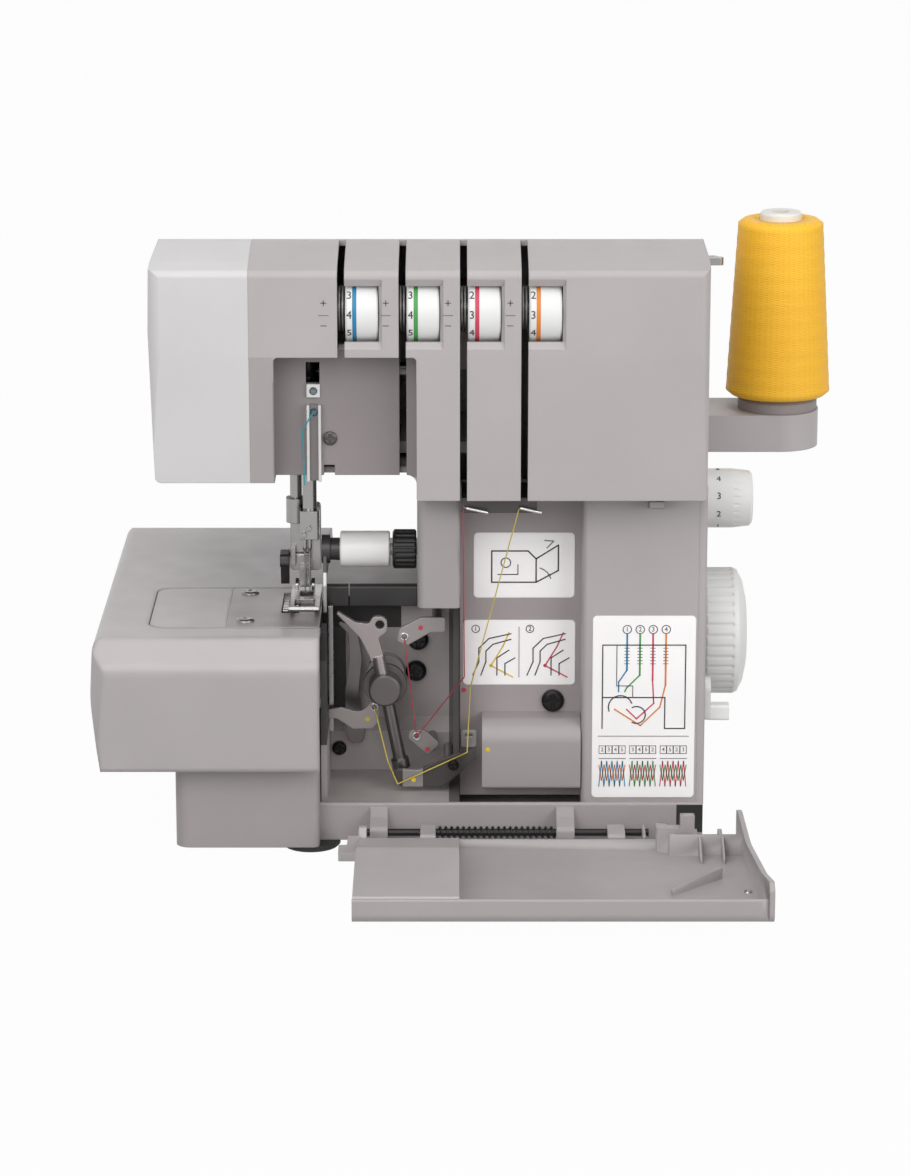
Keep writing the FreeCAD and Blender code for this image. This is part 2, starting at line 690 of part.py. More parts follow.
def extension_table():
    """Hollow bed that slips over the free arm from the left, with two runners on the base block."""
    outer = table_form(0, BED_LOW_Z, BED_RIGHT)
    hollow = table_form(WALL, BED_LOW_Z - 10, BED_RIGHT + 10)
    arm_cut = prism(
        [
            (FREE_ARM_LEFT - 0.5, FREE_ARM_FRONT - 0.5),
            (BED_RIGHT + 10, FREE_ARM_FRONT - 0.5),
            (BED_RIGHT + 10, FREE_ARM_REAR + 0.5),
            (FREE_ARM_LEFT - 0.5, FREE_ARM_REAR + 0.5),
        ],
        "xy",
        BED_Z - 10,
        BED_Z + 5,
        [8.5, 0, 0, 8.5],
    )
    shell = outer.cut([hollow, arm_cut])
    runners = [
        block(BED_LEFT, BED_RIGHT - 2, y0, y1, BED_LOW_Z + 0.1, BED_LOW_Z + 2.6).common(outer)
        for y0, y1 in ((BED_FRONT, -4.0), (150.0, BED_REAR))
    ]
    return fuse(shell, *runners)


def free_arm():
    """Hollow free arm with a seat for the needle plate, open at its right end."""
    plan = [
        (FREE_ARM_LEFT, FREE_ARM_FRONT),
        (FREE_ARM_RIGHT, FREE_ARM_FRONT),
        (FREE_ARM_RIGHT, FREE_ARM_REAR),
        (FREE_ARM_LEFT, FREE_ARM_REAR),
    ]
    outer = prism(plan, "xy", FREE_ARM_LOW_Z, BED_Z, [8, 0, 0, 8])
    past = FREE_ARM_RIGHT + 1
    hollow = block(FREE_ARM_LEFT + WALL, past, FREE_ARM_FRONT + WALL, FREE_ARM_REAR - WALL, 74, 108.5)
    seat = block(PLATE_LEFT - 0.1, past, 2.9, 74.1, BED_Z - PLATE_THICK, BED_Z + 1)
    mouth = block(PLATE_LEFT + 3.5, past, 6, 71, 105, BED_Z + 1)
    return outer.cut([hollow, seat, mouth])


def needle_plate():
    """Steel plate with the needle hole, the feed dog slots and its two screws."""
    plate = block(PLATE_LEFT, FREE_ARM_RIGHT - 0.05, 3, 74, BED_Z - PLATE_THICK, BED_Z)
    low = BED_Z - PLATE_THICK - 1
    tools = [block(-76.2, -70.8, 50, 54.5, low, BED_Z + 1)]
    for x in FEED_BAR_XS:
        tools.append(block(x - 0.6, x + FEED_BAR_WIDTH + 0.6, 28, 66, low, BED_Z + 1))
    heads = [screw(AXES["z"], (PLATE_SCREW_X, y, BED_Z), 4.4, 1.2) for y in PLATE_SCREW_YS]
    return group(plate.cut(tools), *heads)


def feed_dogs():
    """Two toothed bars on one carrier under the plate."""
    carrier = block(-86, -76, 40, 68, 99, 104)
    bars = []
    for x in FEED_BAR_XS:
        side = [(32, 104), (32, 112.0)]
        teeth = 10
        pitch = 3.0
        for tooth in range(teeth):
            side.append((32 + pitch * tooth + 0.6, 112.6))
            side.append((32 + pitch * (tooth + 1), 111.8))
        side.append((62, 104))
        bars.append(prism(side, "yz", x, x + FEED_BAR_WIDTH))
    posts = [block(x, x + FEED_BAR_WIDTH, 40, 62, 103, 105) for x in FEED_BAR_XS]
    return fuse(carrier, *bars, *posts)


def bed_plate():
    """Fixed bed behind the needle, with the dark edge bar in two lengths along its front."""
    plate = block(BED_RIGHT + 0.4, THROAT_RIGHT_X - 0.2, 60, REAR_COVER_Y, 107.8, BED_Z)
    side = [(56.5, 107.8), (56.5, 117.5), (58.0, 118.7), (60.0, 118.7), (60.0, 107.8)]
    bars = [prism(side, "yz", x0, x1, [0, 1, 0, 0, 0]) for x0, x1 in ((-64.8, -53.2), (-52.6, -18.9))]
    return group(plate, *bars)


def screw(axis, start, radius, height):
    """Domed screw head with a cross slot, standing on its start point along an axis."""
    head = turned(
        "z", (0, 0, 0), [(0, radius), (0.55 * height, radius), (height, 0.72 * radius)]
    )
    wide = 0.16 * radius
    reach = 0.7 * radius
    deep = 0.45 * height
    slots = [
        block(-reach, reach, -wide, wide, height - deep, height + 1),
        block(-wide, wide, -reach, reach, height - deep, height + 1),
    ]
    head = head.cut(slots)
    head.Placement = FreeCAD.Placement(point(*start), FreeCAD.Rotation(AXES["z"], axis))
    return head


def black_screws():
    """Black screws of the looper bay and of the threading recess."""
    out = AXES["y"] * -1
    heads = [
        screw(out, (-19.7, BAY_BACK_Y, 70.6), 5.2, 4),
        screw(out, (-18.6, BAY_BACK_Y, 86.9), 5.2, 4),
        screw(out, (-58.5, 64, 31.5), 3.6, 3),
        screw(out, (48.8, PANEL_MID_Y, 62.2), 5.6, 3),
        screw(out, (-0.8, 26, 34.2), 2.6, 2.0),
    ]
    return group(*heads)


def needle_thread_plates():
    """Eyelet plate, long channel plate and screw on the back of the needle recess."""
    back = RECESS_BACK_Y
    eyelet = block(-71.8, -65.2, back - 1.5, back, 222.8, 229.4).cut(
        rod("y", (-68.5, back - 5, 226), 1.5, 10)
    )
    side = block(-71.8, -64.8, back - 3.6, back, 181.5, 219.4)
    groove = block(-70.4, -66.2, back - 5, back - 1.2, 180, 221)
    eye = rod("y", (-68.3, back - 5, 215.5), 1.3, 10)
    head = screw(AXES["y"] * -1, (-60.6, back, 202.4), 3.4, 1.6)
    return group(eyelet, side.cut([groove, eye]), head)


def head_thread_guide():
    """Guide plate under the head, its front lip and two wire hooks."""
    plate = block(3.2, 39.8, 12, PANEL_MID_Y, 172.4, 174.2)
    lip = block(3.2, 39.8, 12, 13.6, 166.8, 174.2)
    hooks = []
    for x in (4.5, 30.5):
        edges = [
            Part.makeLine(point(x, 12.6, 169.5), point(x + 1.5, 10.2, 169.5)),
            Part.makeLine(point(x + 1.5, 10.2, 169.5), point(x + 11, 9.4, 167.6)),
        ]
        for edge in edges:
            start = edge.Vertexes[0].Point
            stop = edge.Vertexes[1].Point
            heading = stop - start
            hooks.append(Part.makeCylinder(0.8, heading.Length, start, heading))
            hooks.append(Part.makeSphere(0.8, stop))
    return fuse(plate, lip, *hooks)


def tension_parts():
    """Shaft, discs and bracket behind the slots, and one number drum per slot."""
    left = slot_x(0) - 5
    right = window_x(3) + WINDOW_WIDTH + 4.5
    shaft = rod("x", (left, DIAL_Y, DIAL_Z), TENSION_SHAFT_RADIUS, right - left)
    discs = []
    hangers = []
    for number in range(DIAL_COUNT):
        middle = slot_x(number) + SLOT_WIDTH / 2
        for shift in (-1.25, 0.3):
            start = (middle + shift, DIAL_Y, DIAL_Z)
            discs.append(tube("x", start, 11, TENSION_SHAFT_RADIUS + TIGHT_FIT, 0.95))
        hangers.append(window_x(number) + WINDOW_WIDTH + 2.2)
    hangers.append(left + 1.2)
    beam = block(left + 1.2, hangers[3] + 1.6, 36.5, 40, 260, 274)
    arms = [block(x, x + 1.6, DIAL_Y - 5, 37, 261, 273) for x in hangers]
    bracket = fuse(beam, *arms).cut(
        rod("x", (left - 5, DIAL_Y, DIAL_Z), TENSION_SHAFT_RADIUS + TIGHT_FIT, right - left + 10)
    )
    nodes = {"tension_rack": group(shaft, bracket, *discs)}
    names = ("left_needle", "right_needle", "upper_looper", "lower_looper")
    for number, name in enumerate(names):
        start = window_x(number) + (WINDOW_WIDTH - DIAL_WIDTH) / 2
        nodes["tension_dial_" + name] = tension_dial(start)
    return nodes


def tension_dial(start):
    """Number drum with rounded edges, hollow on its right, that turns on the tension shaft."""
    edge = 0.8
    steps = [
        (0, DIAL_RADIUS - edge),
        (edge, DIAL_RADIUS),
        (DIAL_WIDTH - edge, DIAL_RADIUS),
        (DIAL_WIDTH, DIAL_RADIUS - edge),
    ]
    drum = turned("x", (start, DIAL_Y, DIAL_Z), steps)
    hub = rod("x", (start - 1, DIAL_Y, DIAL_Z), TENSION_SHAFT_RADIUS + RUN_FIT, DIAL_WIDTH + 2)
    hollow = tube("x", (start + 3, DIAL_Y, DIAL_Z), DIAL_RADIUS - 3, 6, DIAL_WIDTH)
    return drum.cut([hub, hollow])


def needle_parts():
    """Needle bar with its clamp, screws, needles and drive collar."""
    bar = turned(
        "z",
        (NEEDLE_X, NEEDLE_Y, 0),
        [(150, NEEDLE_BAR_RADIUS), (267, NEEDLE_BAR_RADIUS), (268, NEEDLE_BAR_RADIUS - 1)],
    )
    clamp_plan = [(-76.8, 46), (-67.2, 46), (-67.2, 54.8), (-70, 56.2), (-74, 56.2), (-76.8, 54.8)]
    clamp = prism(clamp_plan, "xy", 144.5, 159, [2, 2, 1, 1, 1, 1])
    tools = [rod("z", (NEEDLE_X, NEEDLE_Y, 149.9), NEEDLE_BAR_RADIUS + TIGHT_FIT, 20)]
    needles = []
    screws = []
    for number, x in enumerate(NEEDLE_XS):
        tools.append(rod("z", (x, NEEDLE_Y, 140), 1.0 + TIGHT_FIT, 9.6))
        steps = [
            (NEEDLE_TIP_Z, 0.08),
            (NEEDLE_TIP_Z + 4, 0.45),
            (137, 0.5),
            (139, 1.0),
            (149.4, 1.0),
        ]
        needles.append(turned("z", (x, NEEDLE_Y, 0), steps))
        screws.append(rod("y", (x, 43.6, 147.2 + 3.4 * number), 1.25, 2.4))
    collar = tube("z", (NEEDLE_X, NEEDLE_Y, COLLAR_Z - 5), 5.2, NEEDLE_BAR_RADIUS + TIGHT_FIT, 10)
    pin = rod("x", (NEEDLE_X + 4.4, NEEDLE_Y, COLLAR_Z), 2, 6.8)
    return {
        "needle_bar": group(bar, fuse(collar, pin)),
        "needle_clamp": group(clamp.cut(tools), *screws, *needles),
    }


def needle_lever_parts():
    """Rocking lever whose slot drives the needle bar's pin, and the shaft that it rocks on."""
    shaft = rod("x", (-102, ARM_SHAFT_Y, COLLAR_Z), ARM_SHAFT_RADIUS, 100)
    side = [
        (43.0, COLLAR_Z - 4.6),
        (ARM_SHAFT_Y, COLLAR_Z - 7.5),
        (ARM_SHAFT_Y, COLLAR_Z + 7.5),
        (43.0, COLLAR_Z + 4.6),
    ]
    arm = prism(side, "yz", -66.2, -62.2, [3, 0, 0, 3])
    hub = rod("x", (-66.2, ARM_SHAFT_Y, COLLAR_Z), 8.5, 8)
    lever = fuse(arm, hub)
    slot = prism(
        [
            (46.8, COLLAR_Z - 2.4),
            (55.5, COLLAR_Z - 2.4),
            (55.5, COLLAR_Z + 2.4),
            (46.8, COLLAR_Z + 2.4),
        ],
        "yz",
        -70,
        -60,
        2.3,
    )
    bore = rod("x", (-70, ARM_SHAFT_Y, COLLAR_Z), ARM_SHAFT_RADIUS + TIGHT_FIT, 20)
    return {"needle_lever": group(lever.cut([slot, bore]), shaft)}


def presser_parts():
    """Presser bar, foot holder, spring, tilting foot, release lever and the lifter at the back."""
    bar = fuse(
        rod("z", (PRESSER_X, PRESSER_Y, 150.5), PRESSER_BAR_RADIUS, 109),
        rod("z", (PRESSER_X, PRESSER_Y, 202), 4.2, 3),
    )
    boss = rod("z", (PRESSER_X, PRESSER_Y, 150.5), 5, 12.5)
    web = prism([(-82.1, 125), (-82.1, 159.5), (-66.8, 159.5), (-66.8, 125)], "xz", 62, 65, [2, 2, 2, 2])
    tongue = block(-77.5, -72, 57.6, 65, FOOT_PIN_Z - 1.6, 128)
    lug = block(-82.1, -79.4, 57, 65, RELEASE_Z - 4.5, RELEASE_Z + 4.5)
    holder = fuse(boss, web, tongue, lug).cut(
        [
            rod("z", (PRESSER_X, PRESSER_Y, 150.4), PRESSER_BAR_RADIUS + TIGHT_FIT, 30),
            rod("x", (-80, 60, FOOT_PIN_Z), 1.2 + RUN_FIT, 10),
            rod("x", (-83, RELEASE_Y, RELEASE_Z), 1.2 + RUN_FIT, 10),
        ]
    )
    spring = helix_tube("z", (PRESSER_X, PRESSER_Y, 206), 3.95, 0.45, 40.5, 10)
    return {
        "presser_bar": group(bar, holder),
        "presser_spring": spring,
        "presser_foot": presser_foot(),
        "foot_release_lever": release_lever(),
        "presser_lever": presser_lever(),
    }


def presser_foot():
    """Sole with a turned-up toe, an open front loop, the needle slot and two pivot ears."""
    side = [
        (16.5, 116.4),
        (17.6, 118.2),
        (24.5, 115.6),
        (70, 115.4),
        (70, 113.2),
        (24, 113.2),
    ]
    sole = prism(side, "yz", -81.6, -66.6, [0.5, 0.5, 6, 0, 0, 6])
    loop = prism([(-79.2, 21), (-69.2, 21), (-69.2, 41), (-79.2, 41)], "xy", 110, 120, 1.5)
    slot = prism([(-77.2, 46), (-70.2, 46), (-70.2, 57), (-77.2, 57)], "xy", 110, 120, 1)
    ears = []
    for x in (-79.6, -71.6):
        outline_points = [(56.5, 114), (56.5, 119), (60, 122.2), (63.5, 119), (63.5, 114)]
        ears.append(prism(outline_points, "yz", x, x + 1.6, [0, 2, 2, 2, 0]))
    pin = rod("x", (-79.6, 60, FOOT_PIN_Z), 1.2, 9.6)
    return fuse(sole.cut([loop, slot]), *ears, pin)


def release_lever():
    """Black thumb lever on the left of the foot holder."""
    side = [
        (63.8, RELEASE_Z + 2.4),
        (56, RELEASE_Z + 4),
        (47, RELEASE_Z + 3.5),
        (45.5, RELEASE_Z - 3),
        (54, RELEASE_Z - 2.6),
        (57, RELEASE_Z - 14),
        (59.5, RELEASE_Z - 14),
        (63.8, RELEASE_Z - 2.4),
    ]
    body = prism(side, "yz", -86.8, -82.6, [2, 2, 2, 2, 2, 1, 1, 2])
    return fuse(body, rod("x", (-83, RELEASE_Y, RELEASE_Z), 1.2, 3.4))


def presser_lever():
    """Lifter that hangs below the arm at the back, on a pin in the casting's lugs."""
    side = [
        (LIFTER_Y - 5, LIFTER_Z),
        (LIFTER_Y + 4, LIFTER_Z),
        (LIFTER_Y + 15, 172),
        (LIFTER_Y + 20, 161),
        (LIFTER_Y + 14, 157),
        (LIFTER_Y + 7, 170),
    ]
    arm = prism(side, "yz", -64, -56, [0, 0, 6, 3, 3, 6])
    hub = rod("x", (-66, LIFTER_Y, LIFTER_Z), 6, 12)
    pin = rod("x", (-72, LIFTER_Y, LIFTER_Z), 3, 24)
    return fuse(arm, hub, pin)


def knife_parts():
    """Upper knife on its shaft with roller and knob, and the lower knife on the bay's wall."""
    shaft = rod("x", (-62.0, KNIFE_Y, KNIFE_Z), KNIFE_SHAFT_RADIUS, 59)
    collar = rod("x", (-66.2, KNIFE_Y, KNIFE_Z), 7.2, 4.2)
    hub = tube("x", (-62.0, KNIFE_Y, KNIFE_Z), 5.6, KNIFE_SHAFT_RADIUS + TIGHT_FIT, 5.0)
    side = [
        (KNIFE_Y - 6.5, KNIFE_Z - 1),
        (KNIFE_Y + 3, KNIFE_Z - 6),
        (50.5, 121),
        (49.5, 107),
        (41, 108.5),
        (42.5, 122),
    ]
    blade = prism(side, "yz", -65.4, -63.6, [0, 0, 5, 0, 0, 5])
    roller = turned(
        "x",
        (-57, KNIFE_Y, KNIFE_Z),
        [(0, 8.4), (0.6, 9), (24, 9), (24.6, 8.4)],
    ).cut(rod("x", (-58, KNIFE_Y, KNIFE_Z), KNIFE_SHAFT_RADIUS + TIGHT_FIT, 30))
    knob = knife_knob()
    lower = prism(
        [(44.5, 46), (44.5, 111), (54.5, 109.5), (54.5, 46)], "yz", BAY_LEFT + WALL, BAY_LEFT + WALL + 2.4
    )
    return {
        "upper_knife": group(fuse(collar, hub, blade), shaft, roller),
        "knife_knob": knob,
        "lower_knife": lower,
    }


def knife_knob():
    """Knurled knob that parks the knife."""
    knob = turned(
        "x",
        (-31, KNIFE_Y, KNIFE_Z),
        [(0, 8.6), (0.8, 9.8), (11, 9.8), (11.8, 9)],
    )
    tools = [rod("x", (-32, KNIFE_Y, KNIFE_Z), KNIFE_SHAFT_RADIUS + RUN_FIT, 20)]
    grooves = 20
    for number in range(grooves):
        angle = 2 * math.pi * number / grooves
        y = KNIFE_Y + 10.3 * math.cos(angle)
        z = KNIFE_Z + 10.3 * math.sin(angle)
        tools.append(rod("x", (-29.6, y, z), 1.0, 15))
    return knob.cut(tools)


def looper_parts():
    """Swivelling boss, upper looper on its sliding rod, and lower looper on its own shaft."""
    centre = (BOSS_X, LOOPER_Y, BOSS_Z)
    boss = fuse(
        turned("y", (BOSS_X, 0, BOSS_Z), [(30.5, 7.2), (31.3, BOSS_RADIUS), (42, BOSS_RADIUS)]),
        rod("y", (BOSS_X, 41.5, BOSS_Z), 10.7, 3),
        rod("y", (BOSS_X, 41, BOSS_Z), 4, 27),
    )
    bore = rod("z", (BOSS_X, LOOPER_Y, BOSS_Z - 20), LOOPER_ROD_RADIUS + RUN_FIT, 40)
    boss = boss.cut(rotated(bore, centre, "y", -LOOPER_TILT))
    shaft = rod("z", (BOSS_X, LOOPER_Y, BOSS_Z - 38), LOOPER_ROD_RADIUS, 55)
    shaft = fuse(shaft, rod("z", (BOSS_X, LOOPER_Y, BOSS_Z - 42), 4.4, 5))
    shaft = rotated(shaft, centre, "y", -LOOPER_TILT)
    return {
        "looper_boss": boss,
        "upper_looper": group(upper_looper(), shaft.cut(upper_looper())),
        "lower_looper": lower_looper(),
    }


def upper_looper():
    """Forged looper: foot on the rod, eye on the right, long point to the left."""
    shape = [
        (-58.6, 109.8),
        (-57.6, 110.6),
        (-49, 105.2),
        (-42.6, 104.6),
        (-40.6, 108.3),
        (-33.6, 108.3),
        (-33.6, 100.4),
        (-38.0, 97.5),
        (-35.4, 88),
        (-36.2, 85.4),
        (-41.6, 85.4),
        (-42.4, 88),
        (-47, 97.4),
    ]
    radii = [0.3, 0.3, 6, 2, 3, 3.4, 3.4, 2, 1, 0.5, 0.5, 4, 8]
    plate = prism(shape, "xz", 34.3, 37.7, radii)
    return plate.cut(rod("y", (-37.2, 30, 104.2), 2.2, 12))


def lower_looper():
    """Curved arm on a shaft in the bay's back wall, point to the left under the plate."""
    shape = [
        (-53.5, 36),
        (-46.5, 36),
        (-45, 44),
        (-48.5, 62),
        (-46.5, 80),
        (-49, 96),
        (-57.5, 99.5),
        (-58.4, 98.4),
        (-53.5, 93),
        (-53, 80),
        (-55.5, 62),
        (-55, 44),
    ]
    radii = [3, 3, 4, 12, 12, 5, 0.3, 0.3, 3, 12, 12, 4]
    arm = prism(shape, "xz", 57.2, 60.8, radii)
    return fuse(arm, rod("y", (LOWER_LOOPER_X, 57.2, LOWER_LOOPER_Z), 3, 19.5))


def looper_thread_guides():
    """Guide plates and lower guide arm of the looper bay, on posts from the back wall."""
    upper_outline = [
        (-28.8, 94.6),
        (-27.6, 101),
        (-17, 106.8),
        (-4.8, 106.8),
        (-4.8, 99.2),
        (-12, 99.2),
        (-23.6, 92.4),
    ]
    upper = prism(upper_outline, "xz", 38.4, 40, [1.5, 2, 4, 1, 1, 4, 2])
    upper = fuse(upper, rod("y", (-9, 39, 103), 2.4, BAY_BACK_Y - 39))
    upper = upper.cut(rod("y", (-25.2, 30, 96.9), 1.6, 20))
    lower_outline = [(-23.4, 43.4), (-22.6, 47.8), (-15.4, 47.8), (-7.4, 40.8), (-13.4, 34.2)]
    lower = prism(lower_outline, "xz", 41, 42.6, [1, 2, 2, 2, 2])
    lower = fuse(lower, rod("y", (-11.5, 42, 38.5), 2.2, 22))
    lower = lower.cut(rod("y", (-19.2, 30, 44.6), 1.5, 20))
    left = prism(
        [
            (-63, 58.6),
            (-57, 59.8),
            (-46.8, 56.9),
            (-41.4, 63.4),
            (-37.8, 60.5),
            (-37.8, 53.5),
            (-41, 48.8),
            (-51, 48.6),
            (-58.9, 54),
            (-63, 54),
        ],
        "xz",
        40,
        41.4,
        [0, 1, 6, 2, 2, 3, 2, 3, 2, 0],
    )
    left = left.cut(rod("y", (-40.2, 30, 60), 1.3, 20))
    arm = prism(
        [(-31.8, 32), (-18, 31.4), (-8, 36.8), (10.5, 43), (10.5, 38), (-3, 25), (-8, 22.8), (-27, 22.8)],
        "xz",
        26,
        28.4,
        [2, 4, 4, 1, 1, 4, 2, 2],
    )
    arm = fuse(arm, rod("y", (-3.5, 28, 32), 2.4, 36))
    clip = prism([(3, 38), (3, 46.6), (10.8, 46.6), (10.8, 38)], "xz", PANEL_MID_Y - 1.4, PANEL_MID_Y, 1.2)
    clip = clip.cut(block(5, 8.8, 40, 50, 43.4, 44.9))
    return group(upper, lower, left, arm, clip)


def thread(points):
    """Taut thread through a list of points: straight runs joined by round knuckles."""
    pieces = []
    for start, stop in zip(points, points[1:]):
        a = point(*start)
        b = point(*stop)
        pieces.append(Part.makeCylinder(THREAD_RADIUS, (b - a).Length, a, b - a))
    for middle in points[1:-1]:
        pieces.append(Part.makeSphere(THREAD_RADIUS, point(*middle)))
    return fuse(*pieces)


def drive_parts():
    """Main shaft with its eccentrics, handwheel, belt, motor and motor pulley."""
    shaft = rod("x", (-52, SHAFT_Y, SHAFT_Z), SHAFT_RADIUS, 190)
    cams = [rod("x", (x, SHAFT_Y, SHAFT_Z + 1.5), 9.5, 7) for x in (-44, -26)]
    wheel = tube("x", (BELT_LEFT, SHAFT_Y, SHAFT_Z), BELT_WHEEL_RADIUS, 4.5, BELT_WIDTH)
    pulley = fuse(
        rod("x", (85, MOTOR_Y, MOTOR_Z), 4, 29),
        rod("x", (BELT_LEFT, MOTOR_Y, MOTOR_Z), MOTOR_PULLEY_RADIUS, BELT_WIDTH),
    )
    return {
        "main_shaft": fuse(shaft, *cams, wheel),
        "handwheel": handwheel(),
        "motor": motor(),
        "motor_pulley": pulley,
        "drive_belt": drive_belt(),
    }


def handwheel():
    """Ribbed wheel with a domed face, on a hub that runs through the side cover."""
    r = HANDWHEEL_RADIUS
    steps = [
        (113, 8),
        (125, 8),
        (125, r - 1.5),
        (126.5, r),
        (141, r),
        (143, r - 1),
        (145.6, r - 6),
        (147.3, r - 14),
    ]
    wheel = turned("x", (0, SHAFT_Y, SHAFT_Z), steps)
    tools = [rod("x", (112, SHAFT_Y, SHAFT_Z), SHAFT_RADIUS + TIGHT_FIT, 26.2)]
    grooves = 36
    for number in range(grooves):
        angle = 2 * math.pi * number / grooves
        y = SHAFT_Y + (r + 0.5) * math.cos(angle)
        z = SHAFT_Z + (r + 0.5) * math.sin(angle)
        tools.append(rod("x", (124, y, z), 1.1, 16))
    return wheel.cut(tools)


def motor():
    """Motor can with end bells, feet on the casting's floor and a hole for the pulley's shaft."""
    bell = MOTOR_RADIUS - 2
    steps = [(26, 18), (29, bell), (36, MOTOR_RADIUS), (84, MOTOR_RADIUS), (91, bell), (94, 14)]
    can = turned("x", (0, MOTOR_Y, MOTOR_Z), steps)
    feet = [block(x, x + 8, MOTOR_Y - 20, MOTOR_Y + 20, BAY_FLOOR_Z, 34) for x in (38, 74)]
    return fuse(can, *feet).cut(rod("x", (84.9, MOTOR_Y, MOTOR_Z), 4 + RUN_FIT, 12))


def belt_outline(big, small):
    """Closed wire round two wheels of the given radii, with straight runs that touch both."""
    dy = MOTOR_Y - SHAFT_Y
    dz = MOTOR_Z - SHAFT_Z
    span = math.hypot(dy, dz)
    heading = math.atan2(dz, dy)
    spread = math.acos((big - small) / span)

    def rim(y, z, radius, angle):
        return point(BELT_LEFT + 0.6, y + radius * math.cos(angle), z + radius * math.sin(angle))

    a = rim(SHAFT_Y, SHAFT_Z, big, heading + spread)
    b = rim(SHAFT_Y, SHAFT_Z, big, heading + math.pi)
    c = rim(SHAFT_Y, SHAFT_Z, big, heading - spread)
    d = rim(MOTOR_Y, MOTOR_Z, small, heading - spread)
    e = rim(MOTOR_Y, MOTOR_Z, small, heading)
    f = rim(MOTOR_Y, MOTOR_Z, small, heading + spread)
    return Part.Wire(
        [
            Part.Arc(a, b, c).toShape(),
            Part.makeLine(c, d),
            Part.Arc(d, e, f).toShape(),
            Part.makeLine(f, a),
        ]
    )


def drive_belt():
    """Belt loop round both wheels, a hair clear of them."""
    run = AXES["x"] * (BELT_WIDTH - 1.2)
    outside = Part.Face(belt_outline(BELT_WHEEL_RADIUS + 1.9, MOTOR_PULLEY_RADIUS + 1.9)).extrude(run)
    inside = Part.Face(belt_outline(BELT_WHEEL_RADIUS + 0.3, MOTOR_PULLEY_RADIUS + 0.3)).extrude(run)
    return outside.cut(inside)


def stitch_dial():
    """Stitch length dial: tapered thumb wheel with grooves, on a spindle through the side cover."""
    r = STITCH_DIAL_RADIUS
    dial = turned(
        "x",
        (0, STITCH_DIAL_Y, STITCH_DIAL_Z),
        [(113, 3), (124.6, 3), (124.6, r), (140, r), (149, r - 1), (150.3, r - 2.5)],
    )
    tools = []
    grooves = 24
    for number in range(grooves):
        angle = 2 * math.pi * number / grooves
        y = STITCH_DIAL_Y + (r + 0.3) * math.cos(angle)
        z = STITCH_DIAL_Z + (r + 0.3) * math.sin(angle)
        tools.append(rod("x", (140.5, y, z), 0.9, 15))
    return dial.cut(tools)


def differential_lever():
    """Feed ratio lever: short arm on a spindle, with a square thumb block at its end."""
    arm = prism(
        [
            (LEVER_Y - 6, LEVER_Z),
            (LEVER_Y, LEVER_Z + 6),
            (LEVER_Y + 6, LEVER_Z),
            (LEVER_Y + 4, LEVER_Z - 17.4),
            (LEVER_Y - 4, LEVER_Z - 17.4),
        ],
        "yz",
        124.5,
        127.5,
        [3, 4, 3, 2, 2],
    )
    thumb = prism(
        [
            (LEVER_Y - 3.9, LEVER_Z - 17.4),
            (LEVER_Y + 3.9, LEVER_Z - 17.4),
            (LEVER_Y + 3.9, LEVER_Z - 9.6),
            (LEVER_Y - 3.9, LEVER_Z - 9.6),
        ],
        "yz",
        127,
        136.8,
        1.2,
    )
    return fuse(arm, thumb, rod("x", (114, LEVER_Y, LEVER_Z), 2.5, 12))


def power_switch():
    """Rocker on a cross pin, tipped to its off side."""
    side = [
        (119.6, SWITCH_Z - 8.6),
        (126.2, SWITCH_Z - 8.6),
        (124.8, SWITCH_Z),
        (126.2, SWITCH_Z + 8.6),
        (119.6, SWITCH_Z + 8.6),
    ]
    rocker = prism(side, "xz", SWITCH_Y - 7, SWITCH_Y + 7, [0, 0.8, 8, 0.8, 0])
    rocker = fuse(rocker, rod("y", (122, SWITCH_Y - 10, SWITCH_Z), 1.5, 20))
    return rotated(rocker, (122, SWITCH_Y, SWITCH_Z), "y", 7)


def power_inlet():
    """Recessed inlet with two contact pins."""
    y0 = INLET_Y - 9
    y1 = INLET_Y + 9
    z0 = INLET_Z - 9
    z1 = INLET_Z + 9
    shell = block(108, SIDE_RIGHT + 0.8, y0, y1, z0, z1)
    mouth = block(111, SIDE_RIGHT + 2, y0 + 2.5, y1 - 2.5, z0 + 2.5, z1 - 2.5)
    pins = [rod("x", (110, INLET_Y + side, INLET_Z), 1.2, 5) for side in (-3.2, 3.2)]
    return fuse(shell.cut(mouth), *pins)


def spool_stand():
    """Hollow tray behind the head with round ends and four pins, bolted to the rear cover."""
    plan = [
        (STAND_LEFT, STAND_FRONT),
        (STAND_RIGHT, STAND_FRONT),
        (STAND_RIGHT, STAND_REAR),
        (STAND_LEFT, STAND_REAR),
    ]
    inner = [
        (STAND_LEFT + WALL, STAND_FRONT + WALL),
        (STAND_RIGHT - WALL, STAND_FRONT + WALL),
        (STAND_RIGHT - WALL, STAND_REAR - WALL),
        (STAND_LEFT + WALL, STAND_REAR - WALL),
    ]
    tray = prism(plan, "xy", STAND_LOW_Z, STAND_TOP_Z, [21, 21, 21, 21])
    hollow = prism(inner, "xy", STAND_LOW_Z - 1, STAND_TOP_Z - WALL, [18, 18, 18, 18])
    bosses = [block(x, x + 24, HEAD_REAR, STAND_FRONT + 1, 160, 173) for x in (14, 92)]
    socket = tube("z", (POLE_X, POLE_Y, STAND_LOW_Z), 9, 6, STAND_TOP_Z - STAND_LOW_Z)
    stand = fuse(tray.cut(hollow), *bosses, socket)
    stand = stand.cut(rod("z", (POLE_X, POLE_Y, STAND_LOW_Z - 1), 6 + TIGHT_FIT, 30))
    return group(stand, *spool_pins())


